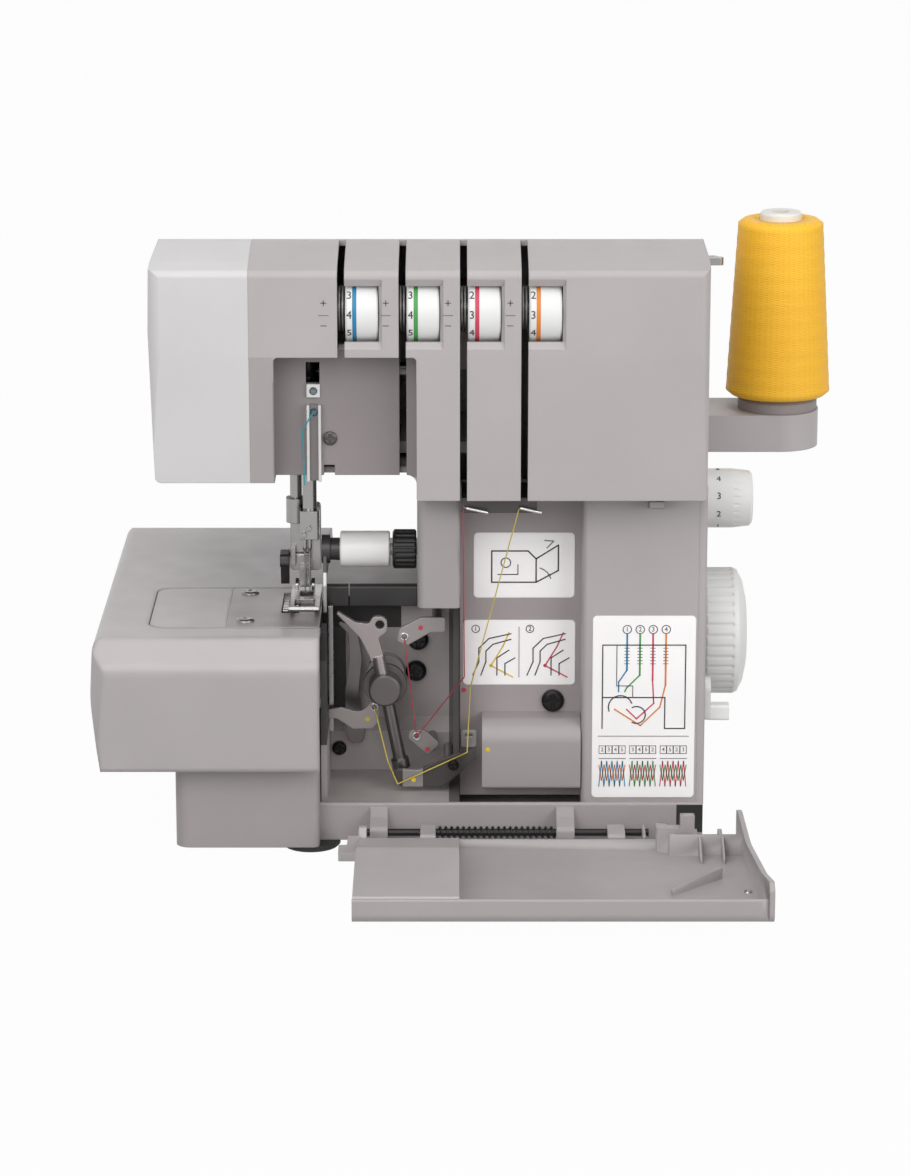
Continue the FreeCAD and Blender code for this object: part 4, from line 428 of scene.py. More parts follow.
FINISH_LIST = (
    Finish("satin_panel_grey", PANEL_GREY, 0.45, nodes=("right_side_cover", "rear_cover")),
    Finish(
        "satin_front_panel_grey_with_painted_shade", PANEL_GREY, 0.45, nodes=("front_panel",),
        patches=(
            # Painted shade: the back wall of the charts' recess is darker.
            Patch((2.3, 62.6), (44.0, 49.0), ANY, (160, 152, 152), 0.45),
            # Painted shade: the panel's part on the column, left of x 2.3 beside the looper bay, is
            # darker.
            Patch((None, 2.3), ANY, ANY, (160, 154, 154), 0.45),
        ),
    ),
    Finish(
        "satin_head_grey_with_painted_shade", (176, 170, 170), 0.42, nodes=("head_cover",),
        patches=(
            # Painted shade: the head's strip left of the recess is darker below z 246.
            Patch((None, -86.9), (None, 60.0), (None, 246.2), (162, 156, 156), 0.45),
            # Painted shade: the walls and back of the recess in the head's face, under the dials, are
            # darker.
            Patch((-87.5, -18.4), (0.4, 30.0), (183.0, 246.2), (140, 132, 133), 0.45),
        ),
    ),
    Finish("satin_face_plastic", (205, 203, 204), 0.4, nodes=("face_cover",)),
    Finish(
        "satin_pale_plastic", (232, 232, 231), 0.4,
        nodes=(
            "stitch_length_dial", "differential_lever", "tension_dial_left_needle",
            "tension_dial_right_needle", "tension_dial_upper_looper", "tension_dial_lower_looper",
        ),
    ),
    Finish("satin_wheel_plastic", (228, 228, 227), 0.42, edge=0.002, nodes=("handwheel",)),
    Finish(
        "matt_base_grey_with_painted_shadow", (160, 153, 153), 0.5, nodes=("base_pan",),
        # Painted shadow: a near black block stands for the shadowed opening under the right side panel.
        patches=(Patch((109.0, 122.2), (1.0, 5.2), (7.0, 21.2), (26, 25, 25), 0.6),),
    ),
    Finish("satin_shaft_cover_grey", (162, 156, 156), 0.42, nodes=("looper_shaft_cover",)),
    Finish("satin_cover_grey", (164, 158, 158), 0.42, nodes=("looper_cover",)),
    Finish("satin_chute_grey", (178, 172, 172), 0.4, nodes=("chip_chute",)),
    Finish(
        "satin_bed_grey", (174, 168, 168), 0.36, coat=0.15, edge=0.004,
        nodes=("extension_table", "free_arm"),
    ),
    Finish(
        "bed_plate_grey", (176, 170, 169), 0.4, nodes=("bed_plate",),
        patches=(Patch(ANY, (None, 60.05), ANY, (52, 50, 50), 0.4),),
    ),
    Finish(
        "needle_plate_satin", (154, 146, 146), 0.34, metallic=0.35, stretch=DRAWN_ACROSS,
        nodes=("needle_plate",),
        patches=(Patch((-107.4, -97.8), ANY, (112.05, None), (150, 148, 146), 0.28, 1.0),),
    ),
    Finish(
        "satin_black_plastic", (30, 29, 30), 0.38,
        nodes=(
            "power_switch", "power_inlet", "presser_lever", "foot_release_lever", "knife_knob",
            "pole_base_tube",
        ),
    ),
    Finish("matt_black_rubber", (34, 33, 33), 0.75, grain=0.2, nodes=("rubber_feet", "drive_belt")),
    Finish(
        "cast_alloy", (172, 166, 164), 0.5, metallic=0.2, clouds=0.12, cloud_scale=45.0, grain=0.25,
        grain_scale=700.0, nodes=("main_casting",),
        patches=(
            # Painted shade: near black on the looper bay's back wall above the guides, where the bay lies
            # in deep shadow.
            Patch((-66.5, -27.0), (None, 78.2), (93.0, None), (44, 42, 42), 0.6),
            # Painted shade: dark on the bay's left part, which lies in shadow.
            Patch((-66.5, -55.0), (None, 78.2), (50.0, 93.1), (72, 69, 69), 0.55),
            # Painted shade: a dark upright band at the bay's right edge, by the column.
            Patch((-3.0, 2.3), ANY, ANY, (92, 88, 88), 0.55),
        ),
    ),
    Finish(
        "ground_steel", (160, 158, 157), 0.26, metallic=1.0, wear=0.08, grain=0.06, grain_scale=2600.0,
        stretch=DRAWN_UPRIGHT,
        nodes=(
            "motor_pulley", "main_shaft", "needle_bar", "needle_clamp", "needle_lever", "presser_bar",
            "presser_foot", "feed_dogs", "lower_knife", "pole_middle_tube", "pole_top_bar",
        ),
    ),
    Finish(
        "dark_oiled_steel", (120, 117, 116), 0.32, metallic=0.9, clouds=0.12, cloud_scale=80.0, grain=0.1,
        grain_scale=1800.0, nodes=("tension_rack",),
    ),
    Finish(
        "bright_looper_steel", (160, 152, 151), 0.3, metallic=0.75, grain=0.06, stretch=DRAWN_UPRIGHT,
        nodes=("upper_looper",),
        patches=(Patch(ANY, ANY, (None, 64.0), (112, 109, 108), 0.28, 0.9),),
    ),
    Finish(
        "lower_looper_steel", (120, 116, 115), 0.32, metallic=0.8, grain=0.08, nodes=("lower_looper",),
    ),
    Finish(
        "guide_steel_with_painted_highlight", (156, 150, 148), 0.35, metallic=0.6, grain=0.08, nodes=("looper_thread_guides",),
        patches=(
            Patch(ANY, (None, 29.0), ANY, (84, 81, 80), 0.35, 0.6),
            Patch((-26.0, -16.0), (None, 29.0), (None, 33.0), (150, 146, 143), 0.3, 0.4),
            # Painted reflection: the clip is bright metal, but it is painted near white and mostly
            # non-metal to stand in for its bright reflections.
            Patch((3.0, None), (43.0, None), ANY, (220, 218, 216), 0.28, 0.3),
        ),
    ),
    Finish(
        "phosphated_steel", (104, 99, 98), 0.4, metallic=0.6, clouds=0.1, grain=0.15,
        nodes=("looper_boss",),
    ),
    Finish(
        "knife_arm_steel", (150, 148, 146), 0.3, metallic=1.0, grain=0.06, stretch=DRAWN_UPRIGHT,
        nodes=("upper_knife",),
        patches=(
            Patch((-57.3, None), ANY, (128.0, None), (250, 249, 247), 0.36),
            Patch((-67.0, -57.2), ANY, (128.0, None), (58, 56, 56), 0.36),
        ),
    ),
    Finish(
        "guide_plate_steel", (78, 74, 74), 0.4, metallic=0.6, nodes=("head_thread_guide",),
        patches=(Patch(ANY, (None, 11.9), ANY, (214, 212, 210), 0.25, 1.0),),
    ),
    Finish(
        "channel_plate_steel", (212, 210, 209), 0.28, metallic=0.6, stretch=DRAWN_UPRIGHT,
        nodes=("needle_thread_plates",),
        patches=(
            Patch((-70.4, -66.2), (17.5, None), (None, 220.0), (122, 117, 116), 0.35, 0.5),
            Patch((-64.6, None), ANY, ANY, (92, 88, 88), 0.35, 0.6),
        ),
    ),
    Finish("polished_eyelet", (214, 213, 212), 0.2, metallic=0.7),
    Finish("plain_bronze", (168, 132, 84), 0.35, metallic=1.0, nodes=("bushes",)),
    Finish("motor_paint", (52, 52, 54), 0.45, clouds=0.06, nodes=("motor",)),
    Finish("soft_grey_pad", (150, 144, 144), 0.6, grain=0.15, nodes=("cone_pads",)),
    Finish(
        "stand_grey", (184, 178, 178), 0.45, nodes=("spool_stand",),
        patches=(Patch(ANY, ANY, (177.6, None), (222, 221, 219), 0.4),),
    ),
    Finish(
        "blackened_steel", (44, 42, 42), 0.3, metallic=0.7,
        nodes=("presser_spring", "cover_hinge_rod", "cover_spring", "black_screws"),
    ),
    Finish("frosted_lens", (236, 235, 230), 0.25, coat=0.4, nodes=("sewing_lamp",)),
    Finish(
        "taut_threads", (210, 190, 84), 0.6, clouds=0.1, grain=0.5, grain_scale=2400.0,
        nodes=("threads",),
        patches=(
            Patch((3.0, 5.4), (9.0, 34.0), (60.0, 175.0), (178, 66, 86), 0.6),
            Patch((-28.0, 5.0), (28.0, 45.0), (40.0, 100.0), (178, 66, 86), 0.6),
            Patch(ANY, ANY, (175.0, None), (40, 150, 168), 0.6),
        ),
    ),
    Finish("cone_core_plastic", (232, 230, 224), 0.45),
)
FINISHES = {finish.name: finish for finish in FINISH_LIST}


def printed(ink: Ink) -> Finish:
    """Finish of a printing ink."""
    return Finish("ink_" + ink.name.lower(), ink.value, 0.45, clouds=0.04, grain=0.05)


def dress_frame() -> None:
    """Gives every node of the frame its finish."""
    for finish in FINISH_LIST:
        for node in finish.nodes:
            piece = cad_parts[node]
            piece.data.materials.clear()
            piece.data.materials.append(finish.make())
            LOG.info("dressed %s in %s", node, finish.name)


def linked(name: str, data: bpy.types.ID) -> bpy.types.Object:
    """New object in the scene.

    Args:
        name: The object's name.
        data: Its mesh, curve, lamp or camera.

    Returns:
        The object.
    """
    item = bpy.data.objects.new(name, data)
    bpy.context.scene.collection.objects.link(item)
    return item


def stand_up(mesh: Mesh, name: str, body: str, finishes: Iterable[Surface]) -> Piece:
    """Turns a finished mesh into a piece that rides a body.

    Args:
        mesh: The mesh, in its place in the frame; it is freed.
        name: The piece's name.
        body: The body it moves with.
        finishes: Its finishes, in the order of the faces' material indices.

    Returns:
        The piece.
    """
    bmesh.ops.remove_doubles(mesh, verts=mesh.verts, dist=NEW_MERGE)
    bmesh.ops.recalc_face_normals(mesh, faces=mesh.faces)
    data = bpy.data.meshes.new(name)
    mesh.to_mesh(data)
    mesh.free()
    for finish in finishes:
        data.materials.append(finish.make())
    piece = linked(name, data)
    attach(piece, body)
    LOG.info("built %s on %s: %d faces", name, body, len(data.polygons))
    return piece


def turned_mesh(corners: Sequence[Vector], centre: Vector, axis: Vector, steps: int) -> Mesh:
    """Closed outline spun once round an axis.

    Args:
        corners: The outline's corners, in order, in the frame.
        centre: A point on the axis.
        axis: The axis's direction.
        steps: Flats round the turn.

    Returns:
        The mesh.
    """
    mesh = bmesh.new()
    verts = [mesh.verts.new(corner) for corner in corners]
    edges = [mesh.edges.new((vert, verts[index - 1])) for index, vert in enumerate(verts)]
    bmesh.ops.spin(
        mesh, geom=verts + edges, cent=centre, axis=axis, angle=2 * math.pi, steps=steps, use_merge=True
    )
    return mesh


def box_mesh(size: Sequence[float], middle: Vector, turn: Optional[Matrix] = None) -> Mesh:
    """Box as a new mesh.

    Args:
        size: Width, depth and height, in millimetres.
        middle: Its middle in the frame.
        turn: How it is turned about its middle, if it is.

    Returns:
        The mesh.
    """
    mesh = bmesh.new()
    bmesh.ops.create_cube(mesh, size=1.0)
    place = Matrix.Translation(middle)
    if turn is not None:
        place = place @ turn
    stretch = Matrix.Diagonal([side * MM for side in size] + [1.0])
    bmesh.ops.transform(mesh, matrix=place @ stretch, verts=mesh.verts)
    return mesh


def round_edges(mesh: Mesh, edges: Sequence[bmesh.types.BMEdge], radius: float, segments: int) -> None:
    """Rounds edges of a mesh.

    Args:
        mesh: The mesh.
        edges: Which of its edges.
        radius: Their new radius, in millimetres.
        segments: Flats across each round.
    """
    bmesh.ops.bevel(
        mesh, geom=edges, offset=radius * MM, offset_type="OFFSET", segments=segments, profile=0.5,
        affect="EDGES", material=-1,
    )


def round_mesh(low_radius: float, top_radius: float, height: float, segments: int, place: Matrix) -> Mesh:
    """Disc or taper as a new mesh.

    Args:
        low_radius: Radius at its foot, in millimetres.
        top_radius: Radius at its top, in millimetres.
        height: Height, in millimetres.
        segments: Flats round it.
        place: Where its middle goes in the frame, and how it is turned.

    Returns:
        The mesh.
    """
    mesh = bmesh.new()
    bmesh.ops.create_cone(
        mesh, cap_ends=True, segments=segments, radius1=low_radius * MM, radius2=top_radius * MM,
        depth=height * MM,
    )
    bmesh.ops.transform(mesh, matrix=place, verts=mesh.verts)
    return mesh


def digit_mesh(text: str, height: float, thickness: float) -> Mesh:
    """Figures as a solid mesh, centred on the origin in the XY plane.

    Args:
        text: What to write; figures and plain signs only.
        height: Height of a figure, in metres.
        thickness: Thickness, in metres.

    Returns:
        The mesh.
    """
    curve = bpy.data.curves.new("figures", "FONT")
    curve.body = text
    curve.align_x = "CENTER"
    curve.align_y = "CENTER"
    curve.size = height * FONT_SIZE_PER_HEIGHT
    curve.extrude = thickness / 2
    curve.resolution_u = 4
    holder = linked("figures", curve)
    bpy.context.view_layer.update()
    evaluated = holder.evaluated_get(bpy.context.evaluated_depsgraph_get())
    data = bpy.data.meshes.new_from_object(evaluated)
    mesh = bmesh.new()
    mesh.from_mesh(data)
    bpy.data.objects.remove(holder)
    bpy.data.curves.remove(curve)
    bpy.data.meshes.remove(data)
    return mesh


def pour(source: Mesh, target: Mesh, index: int) -> None:
    """Adds one mesh to another.

    Args:
        source: The mesh to add; it is freed.
        target: The mesh that takes it up.
        index: Material index of the added faces.
    """
    for face in source.faces:
        face.material_index = index
    data = bpy.data.meshes.new("poured")
    source.to_mesh(data)
    source.free()
    target.from_mesh(data)
    bpy.data.meshes.remove(data)


def merged_copy(node: str) -> Mesh:
    """Mesh of a node of the frame, joined along its edges, to build a new piece from.

    Args:
        node: The node's name.

    Returns:
        The mesh.
    """
    mesh = bmesh.new()
    mesh.from_mesh(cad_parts[node].data)
    bmesh.ops.remove_doubles(mesh, verts=mesh.verts, dist=COPY_MERGE)
    return mesh


def shade_smooth(piece: Piece) -> None:
    """Shades every face of a piece smooth."""
    piece.data.polygons.foreach_set("use_smooth", [True] * len(piece.data.polygons))


def smooth_between_edges(piece: Piece, angle: float) -> None:
    """Shades a piece smooth up to its sharp edges, and keeps flat faces flat.

    Args:
        piece: The piece.
        angle: Least angle of a sharp edge, in degrees.
    """
    shade_smooth(piece)
    piece.data.set_sharp_from_angle(angle=math.radians(angle))
    flat = piece.modifiers.new("flat_faces", "WEIGHTED_NORMAL")
    flat.keep_sharp = True


@dataclass
class DrumPrint:
    """Figures and a coloured band round a drum whose axis runs along X."""

    node: str
    axis_y: float
    axis_z: float
    radius: float
    figures_x: float
    figure_height: float
    step: float
    rest_value: int
    values: range
    turn: float = 0.0
    band: Optional[tuple[float, float]] = None
    band_ink: Ink = Ink.BLUE
    band_depth: float = 0.3
    band_lift: float = 0.07
    band_flats: int = 72
    skin: float = 0.14

    def build(self) -> None:
        """Builds the figures and the band."""
        low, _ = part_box(self.node)
        centre = DRAWING.at(0, self.axis_y, self.axis_z)
        mesh = bmesh.new()
        for value in self.values:
            figure = digit_mesh(str(value), self.figure_height * MM, PRINT_THICKNESS * MM)
            angle = math.radians(self.turn + self.step * (self.rest_value - value))
            self._wrap(figure, low.x + self.figures_x * MM, centre, angle)
            pour(figure, mesh, 0)
        stand_up(mesh, self.node + ".figures", self.node, [printed(Ink.BLACK)])
        if self.band is not None:
            self._build_band(low.x, centre)

    def _wrap(self, figure: Mesh, x: float, centre: Vector, angle: float) -> None:
        """Lays a flat figure on the drum's skin.

        Args:
            figure: The figure's mesh.
            x: Where it goes along the drum, in the frame.
            centre: A point on the drum's axis.
            angle: How far above the front it lies.
        """
        radius = (self.radius + self.skin) * MM
        for vert in figure.verts:
            turn = angle + vert.co.y / radius
            reach = radius + vert.co.z
            vert.co = Vector(
                (x + vert.co.x, centre.y - reach * math.cos(turn), centre.z + reach * math.sin(turn))
            )

    def _build_band(self, left: float, centre: Vector) -> None:
        """Builds the coloured band as a thin ring.

        Args:
            left: The drum's left end, in the frame.
            centre: A point on the drum's axis.
        """
        start, stop = self.band
        inner = (self.radius - self.band_depth) * MM
        outer = (self.radius + self.band_lift) * MM
        corners = [
            Vector((left + x * MM, centre.y - reach, centre.z))
            for x, reach in ((start, inner), (stop, inner), (stop, outer), (start, outer))
        ]
        ring = turned_mesh(corners, centre, Vector((1, 0, 0)), self.band_flats)
        stand_up(ring, self.node + ".band", self.node, [printed(self.band_ink)])


@dataclass
class PrintedPlate:
    """Thin printed plate that faces the user, with bars, discs and figures on it."""

    name: str
    left: float
    low: float
    width: float
    height: float
    face_y: float
    corner: float = 2.2
    corner_segments: int = 6
    thickness: float = 0.3
    dot_flats: int = 20
    arc_step: float = 20.0
    least_arc_steps: int = 4
    backing: Optional[Ink] = Ink.WHITE
    inks: list[Ink] = field(default_factory=list)

    @classmethod
    def on_panel(cls, name: str, left: float, low: float, face_y: float) -> "PrintedPlate":
        """Print laid straight on a panel, with no plate under it."""
        return cls(name, left, low, 0.0, 0.0, face_y, backing=None)

    def __post_init__(self) -> None:
        """Starts with the bare plate, or with nothing under a print on a panel."""
        self.mesh = bmesh.new()
        self.front = self.face_y
        if self.backing is not None:
            self._lay_plate()
            self.front = self.face_y - self.thickness

    def _index(self, ink: Ink) -> int:
        """Material index of an ink, which is added at its first use.

        Args:
            ink: The ink.

        Returns:
            The index.
        """
        if ink not in self.inks:
            self.inks.append(ink)
        return self.inks.index(ink)

    def _lay_plate(self) -> None:
        """Makes the plate with rounded corners."""
        middle = DRAWING.at(
            self.left + self.width / 2, self.face_y - self.thickness / 2, self.low + self.height / 2
        )
        body = box_mesh((self.width, self.thickness, self.height), middle)
        half = self.thickness * MM / 2
        upright = [edge for edge in body.edges if abs(edge.verts[0].co.y - edge.verts[1].co.y) > half]
        round_edges(body, upright, self.corner, self.corner_segments)
        pour(body, self.mesh, self._index(self.backing))

    def _place(self, u: float, v: float, lift: float) -> Vector:
        """Place in the frame of a point on the plate, in millimetres from its lower left corner."""
        return DRAWING.at(self.left + u, self.front - lift, self.low + v)

    def _facing_user(self, centre: Point, lift: float) -> Matrix:
        """Stands a flat print up at a point on the plate, so that it faces the user."""
        place = Matrix.Translation(self._place(centre[0], centre[1], lift))
        return place @ Matrix.Rotation(math.pi / 2, 4, "X")

    def bar(self, start: Point, stop: Point, width: float, ink: Ink) -> None:
        """Straight stroke.

        Args:
            start: Point on the plate, in millimetres.
            stop: The other end.
            width: Width, in millimetres.
            ink: Its ink.
        """
        first = self._place(start[0], start[1], STROKE_LIFT)
        last = self._place(stop[0], stop[1], STROKE_LIFT)
        run = last - first
        length = run.length / MM + STROKE_OVERLAP * width
        turn = Matrix.Rotation(-math.atan2(run.z, run.x), 4, "Y")
        stroke = box_mesh((length, PRINT_THICKNESS, width), (first + last) / 2, turn)
        pour(stroke, self.mesh, self._index(ink))

    def path(self, points: Sequence[Point], width: float, ink: Ink) -> None:
        """Stroke through several points."""
        for start, stop in zip(points, points[1:]):
            self.bar(start, stop, width, ink)

    def arc(self, centre: Point, radius: float, first: float, last: float, width: float, ink: Ink) -> None:
        """Stroke along part of a circle.

        Args:
            centre: Point on the plate, in millimetres.
            radius: Radius, in millimetres.
            first: Angle it starts at, in degrees.
            last: Angle it ends at, in degrees.
            width: Width, in millimetres.
            ink: Its ink.
        """
        steps = max(self.least_arc_steps, int(abs(last - first) / self.arc_step))
        points = []
        for step in range(steps + 1):
            angle = math.radians(first + (last - first) * step / steps)
            points.append((centre[0] + radius * math.cos(angle), centre[1] + radius * math.sin(angle)))
        self.path(points, width, ink)

    def disc(self, centre: Point, radius: float, ink: Ink) -> None:
        """Round dot.

        Args:
            centre: Point on the plate, in millimetres.
            radius: Radius, in millimetres.
            ink: Its ink.
        """
        place = self._facing_user(centre, DOT_LIFT)
        dot = round_mesh(radius, radius, PRINT_THICKNESS, self.dot_flats, place)
        pour(dot, self.mesh, self._index(ink))

    def figures(self, text: str, centre: Point, height: float, ink: Ink) -> None:
        """Plain figures.

        Args:
            text: What to write; figures only.
            centre: Point on the plate, in millimetres.
            height: Height of a figure, in millimetres.
            ink: Their ink.
        """
        mesh = digit_mesh(text, height * MM, PRINT_THICKNESS * MM)
        bmesh.ops.transform(mesh, matrix=self._facing_user(centre, FIGURE_LIFT), verts=mesh.verts)
        pour(mesh, self.mesh, self._index(ink))

    def build(self) -> None:
        """Finishes the plate as one piece."""
        finishes = [printed(ink) for ink in self.inks]
        stand_up(self.mesh, self.name, ROOT_BODY, finishes)


@dataclass
class TensionDials:
    """Printing of the four tension drums and the marks beside them on the head."""

    names: tuple[str, ...] = ("left_needle", "right_needle", "upper_looper", "lower_looper")
    rest_values: tuple[int, ...] = (4, 4, 3, 3)
    axis_y: float = 15.5
    axis_z: float = 266.9
    radius: float = 16.5
    first_mark_x: float = -62.7
    pitch: float = 29.7
    mark_zs: Triple = (272.6, 266.6, 261.6)
    mark_reach: float = 1.3
    mark_width: float = 0.55
    pointer_reach: float = 2.3
    pointer_width: float = 0.4

    def build(self) -> None:
        """Builds every drum's print and the marks."""
        for name, ink, rest in zip(self.names, THREAD_INKS, self.rest_values):
            node = "tension_dial_" + name
            DrumPrint(
                node=node, axis_y=self.axis_y, axis_z=self.axis_z, radius=self.radius,
                figures_x=1.9, figure_height=3.9, step=33.2, rest_value=rest, values=range(0, 10),
                band=(3.4, 5.4), band_ink=ink,
            ).build()
        self._build_marks()

    def _build_marks(self) -> None:
        """Builds the plus, pointer and minus marks on the head's face."""
        marks = PrintedPlate.on_panel("tension_marks", 0.0, 0.0, 0.0)
        plus, line, minus = self.mark_zs
        reach = self.mark_reach
        for number in range(len(self.names)):
            x = self.first_mark_x + number * self.pitch
            marks.bar((x - reach, plus), (x + reach, plus), self.mark_width, Ink.GREY)
            marks.bar((x, plus - reach), (x, plus + reach), self.mark_width, Ink.GREY)
            ends = ((x - self.pointer_reach, line), (x + self.pointer_reach, line))
            marks.bar(*ends, self.pointer_width, Ink.GREY)
            marks.bar((x - reach, minus), (x + reach, minus), self.mark_width, Ink.GREY)
        marks.build()


@dataclass
class Charts:
    """Three threading charts of a plain layout, with line pictures and figures only."""

    recess_y: float = 45.0
    panel_y: float = 28.0
    looper_lines: tuple[tuple[tuple[float, float], ...], ...] = (
        ((2, 5), (5, 12), (5, 19), (10, 24), (21, 26.5)),
        ((6, 5), (8.5, 12), (8.5, 17.5), (12, 21), (21, 23.6)),
        ((14, 5), (14, 14), (20, 18)),
        ((18, 5), (18, 11), (23, 14)),
    )

    def build(self) -> None:
        """Builds all three."""
        self._cover_chart()
        self._looper_chart()
        self._thread_chart()

    def _cover_chart(self) -> None:
        """Upper chart: a cover that swings open, as a line picture."""
        plate = PrintedPlate("chart_cover", 9.2, 115.2, 50.2, 33.4, self.recess_y)
        plate.path(((9, 8), (9, 24), (27, 24), (31, 20), (31, 8), (9, 8)), 0.7, Ink.BLACK)
        plate.path(((31, 8), (42, 14), (42, 27), (31, 20)), 0.7, Ink.BLACK)
        plate.path(((12, 12), (22, 12), (22, 17)), 0.5, Ink.BLACK)
        plate.arc((31, 8), 7.5, 15, 75, 0.6, Ink.GREY)
        plate.arc((16, 18), 2.4, 0, 360, 0.5, Ink.BLACK)
        plate.path(((36.4, 25.6), (39.6, 29.0), (35.2, 29.4)), 0.6, Ink.GREY)
        plate.build()

    def _looper_chart(self) -> None:
        """Lower chart: two looper pictures with their threads."""
        plate = PrintedPlate("chart_loopers", 3.9, 70.2, 56.0, 33.6, self.recess_y)
        for left, figure, ink in ((3, "1", Ink.YELLOW), (30, "2", Ink.RED)):
            for line in self.looper_lines:
                plate.path([(left + u, v) for u, v in line], 0.6, Ink.BLACK)
            plate.path(((left + 22, 4), (left + 11, 10), (left + 17, 20), (left + 20, 27)), 0.7, ink)
            plate.disc((left + 11, 10), 0.9, ink)
            plate.arc((left + 3.4, 29), 1.9, 0, 360, 0.4, Ink.BLACK)
            plate.figures(figure, (left + 3.4, 29), 2.4, Ink.BLACK)
        plate.bar((28, 4), (28, 30), 0.4, Ink.GREY)
        plate.build()

    def _thread_chart(self) -> None:
        """Right chart: four threads through the machine, and three sample seams below."""
        plate = PrintedPlate("chart_threads", 68.0, 16.6, 51.0, 94.0, self.panel_y)
        plate.path(((5, 36), (5, 79), (46, 79), (46, 36), (36, 36), (36, 52), (5, 52)), 0.6, Ink.BLACK)
        plate.path(((12, 79), (12, 58), (20, 58), (20, 52)), 0.5, Ink.GREY)
        for number, ink in enumerate(THREAD_INKS):
            x = 17 + 6.4 * number
            plate.arc((x, 87), 2.1, 0, 360, 0.4, Ink.BLACK)
            plate.figures(str(number + 1), (x, 87), 2.4, Ink.BLACK)
            plate.bar((x, 84.4), (x, 66 - 2.5 * number), 0.9, ink)
            for row in range(6):
                plate.bar((x - 1.2, 77.4 - 1.6 * row), (x + 1.2, 77.4 - 1.6 * row), 0.35, Ink.GREY)
        plate.path(((17, 66), (13, 60), (13, 55)), 0.7, Ink.BLUE)
        plate.path(((23.4, 63.5), (17, 57), (16, 55)), 0.7, Ink.GREEN)
        plate.path(((29.8, 61), (30.5, 49), (22, 41), (17, 46)), 0.7, Ink.RED)
        plate.path(((36.2, 58.5), (33.5, 47), (24, 37.5), (11, 46)), 0.7, Ink.ORANGE)
        plate.arc((14, 47), 6, 20, 200, 0.6, Ink.BLACK)
        plate.arc((22, 43), 4.4, -120, 120, 0.6, Ink.BLACK)
        plate.bar((3, 32), (48, 32), 0.4, Ink.GREY)
        for number in range(3):
            inks = (THREAD_INKS[number], THREAD_INKS[3 - number])
            self._sample(plate, 3.6 + 15.2 * number, *inks, number)
        plate.build()

    @staticmethod
    def _sample(plate: PrintedPlate, left: float, first: Ink, second: Ink, number: int) -> None:
        """One sample seam: a row of boxes with figures over a zigzag of two threads.

        Args:
            plate: The plate to print on.
            left: Its left edge on the plate, in millimetres.
            first: Ink of the tall zigzag.
            second: Ink of the low zigzag.
            number: Which seam it is, from 0.
        """
        for box in range(4):
            u = left + 3.3 * box
            plate.path(((u, 23), (u, 27), (u + 3.1, 27), (u + 3.1, 23), (u, 23)), 0.3, Ink.BLACK)
            plate.figures(str((box + number) % 4 + 2), (u + 1.55, 25), 2.0, Ink.BLACK)
        for tooth in range(5):
            u = left + 2.6 * tooth
            plate.path(((u, 6), (u + 1.3, 19), (u + 2.6, 6)), 0.5, first)
            plate.path(((u, 17), (u + 1.3, 9), (u + 2.6, 17)), 0.5, second)
        plate.bar((left, 20.4), (left + 13.2, 20.4), 0.4, Ink.GREY)


@dataclass
class GuideDots:
    """Coloured dots and rings on the thread guides that show which thread goes there."""

    places: tuple[tuple[float, float, float, Ink], ...] = (
        (-17.0, 38.4, 101.5, Ink.RED),
        (4.4, 45.0, 67.4, Ink.RED),
        (-13.8, 41.0, 37.7, Ink.RED),
        (-43.6, 40.0, 53.7, Ink.YELLOW),
        (-20.6, 26.0, 26.4, Ink.YELLOW),
        (16.4, 28.0, 41.5, Ink.YELLOW),
    )
    radius: float = 1.2
    ring_places: tuple[Triple, ...] = ((-68.5, 17.5, 226.0), (-68.3, 17.8, 215.5))
    ring_radius: float = 1.75
    ring_width: float = 0.5

    def build(self) -> None:
        """Builds the dots and the rings."""
        for number, (x, y, z, ink) in enumerate(self.places):
            dot = PrintedPlate.on_panel("guide_dot_%d" % number, x, z, y)
            dot.disc((0, 0), self.radius, ink)
            dot.build()
        for number, (x, y, z) in enumerate(self.ring_places):
            ring = PrintedPlate.on_panel("guide_ring_%d" % number, x, z, y)
            ring.arc((0, 0), self.ring_radius, 0, 360, self.ring_width, Ink.TEAL)
            ring.build()


@dataclass
class GuideEyelets:
    """Bright rings in the eyes of the looper guides, which the threads run through."""

    places: tuple[Triple, ...] = ((-25.2, 38.4, 96.9), (-19.2, 41.0, 44.6), (-40.2, 40.0, 60.0))
    radius: float = 1.75
    wire: float = 0.5
    flats: int = 12
    steps: int = 36

    def build(self) -> None:
        """Builds a round ring in each eye."""
        for number, place in enumerate(self.places):
            centre = DRAWING.at(*place)
            section = []
            for flat in range(self.flats):
                angle = 2 * math.pi * flat / self.flats
                across = self.radius + self.wire * math.cos(angle)
                section.append(centre + Vector((across, self.wire * math.sin(angle), 0)) * MM)
            ring = turned_mesh(section, centre, Vector((0, 1, 0)), self.steps)
            name = "guide_eyelet_%d" % number
            piece = stand_up(ring, name, ROOT_BODY, [FINISHES["polished_eyelet"]])
            shade_smooth(piece)


@dataclass
class PresserSpring:
    """Coil on the presser bar, which the lifted bar squeezes against the head."""

    node: str = "presser_spring"
    joint: str = "presser_bar_lift"
    travel: float = 6.0
    sharp: float = 40.0

    def build(self) -> None:
        """Builds the coil as a smooth-shaded copy of the node on the machine's body, and hides the node.
        """
        finish = FINISHES["blackened_steel"]
        piece = stand_up(merged_copy(self.node), "presser_spring.coil", ROOT_BODY, [finish])
        smooth_between_edges(piece, self.sharp)
        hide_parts(self.node)
        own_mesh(piece)


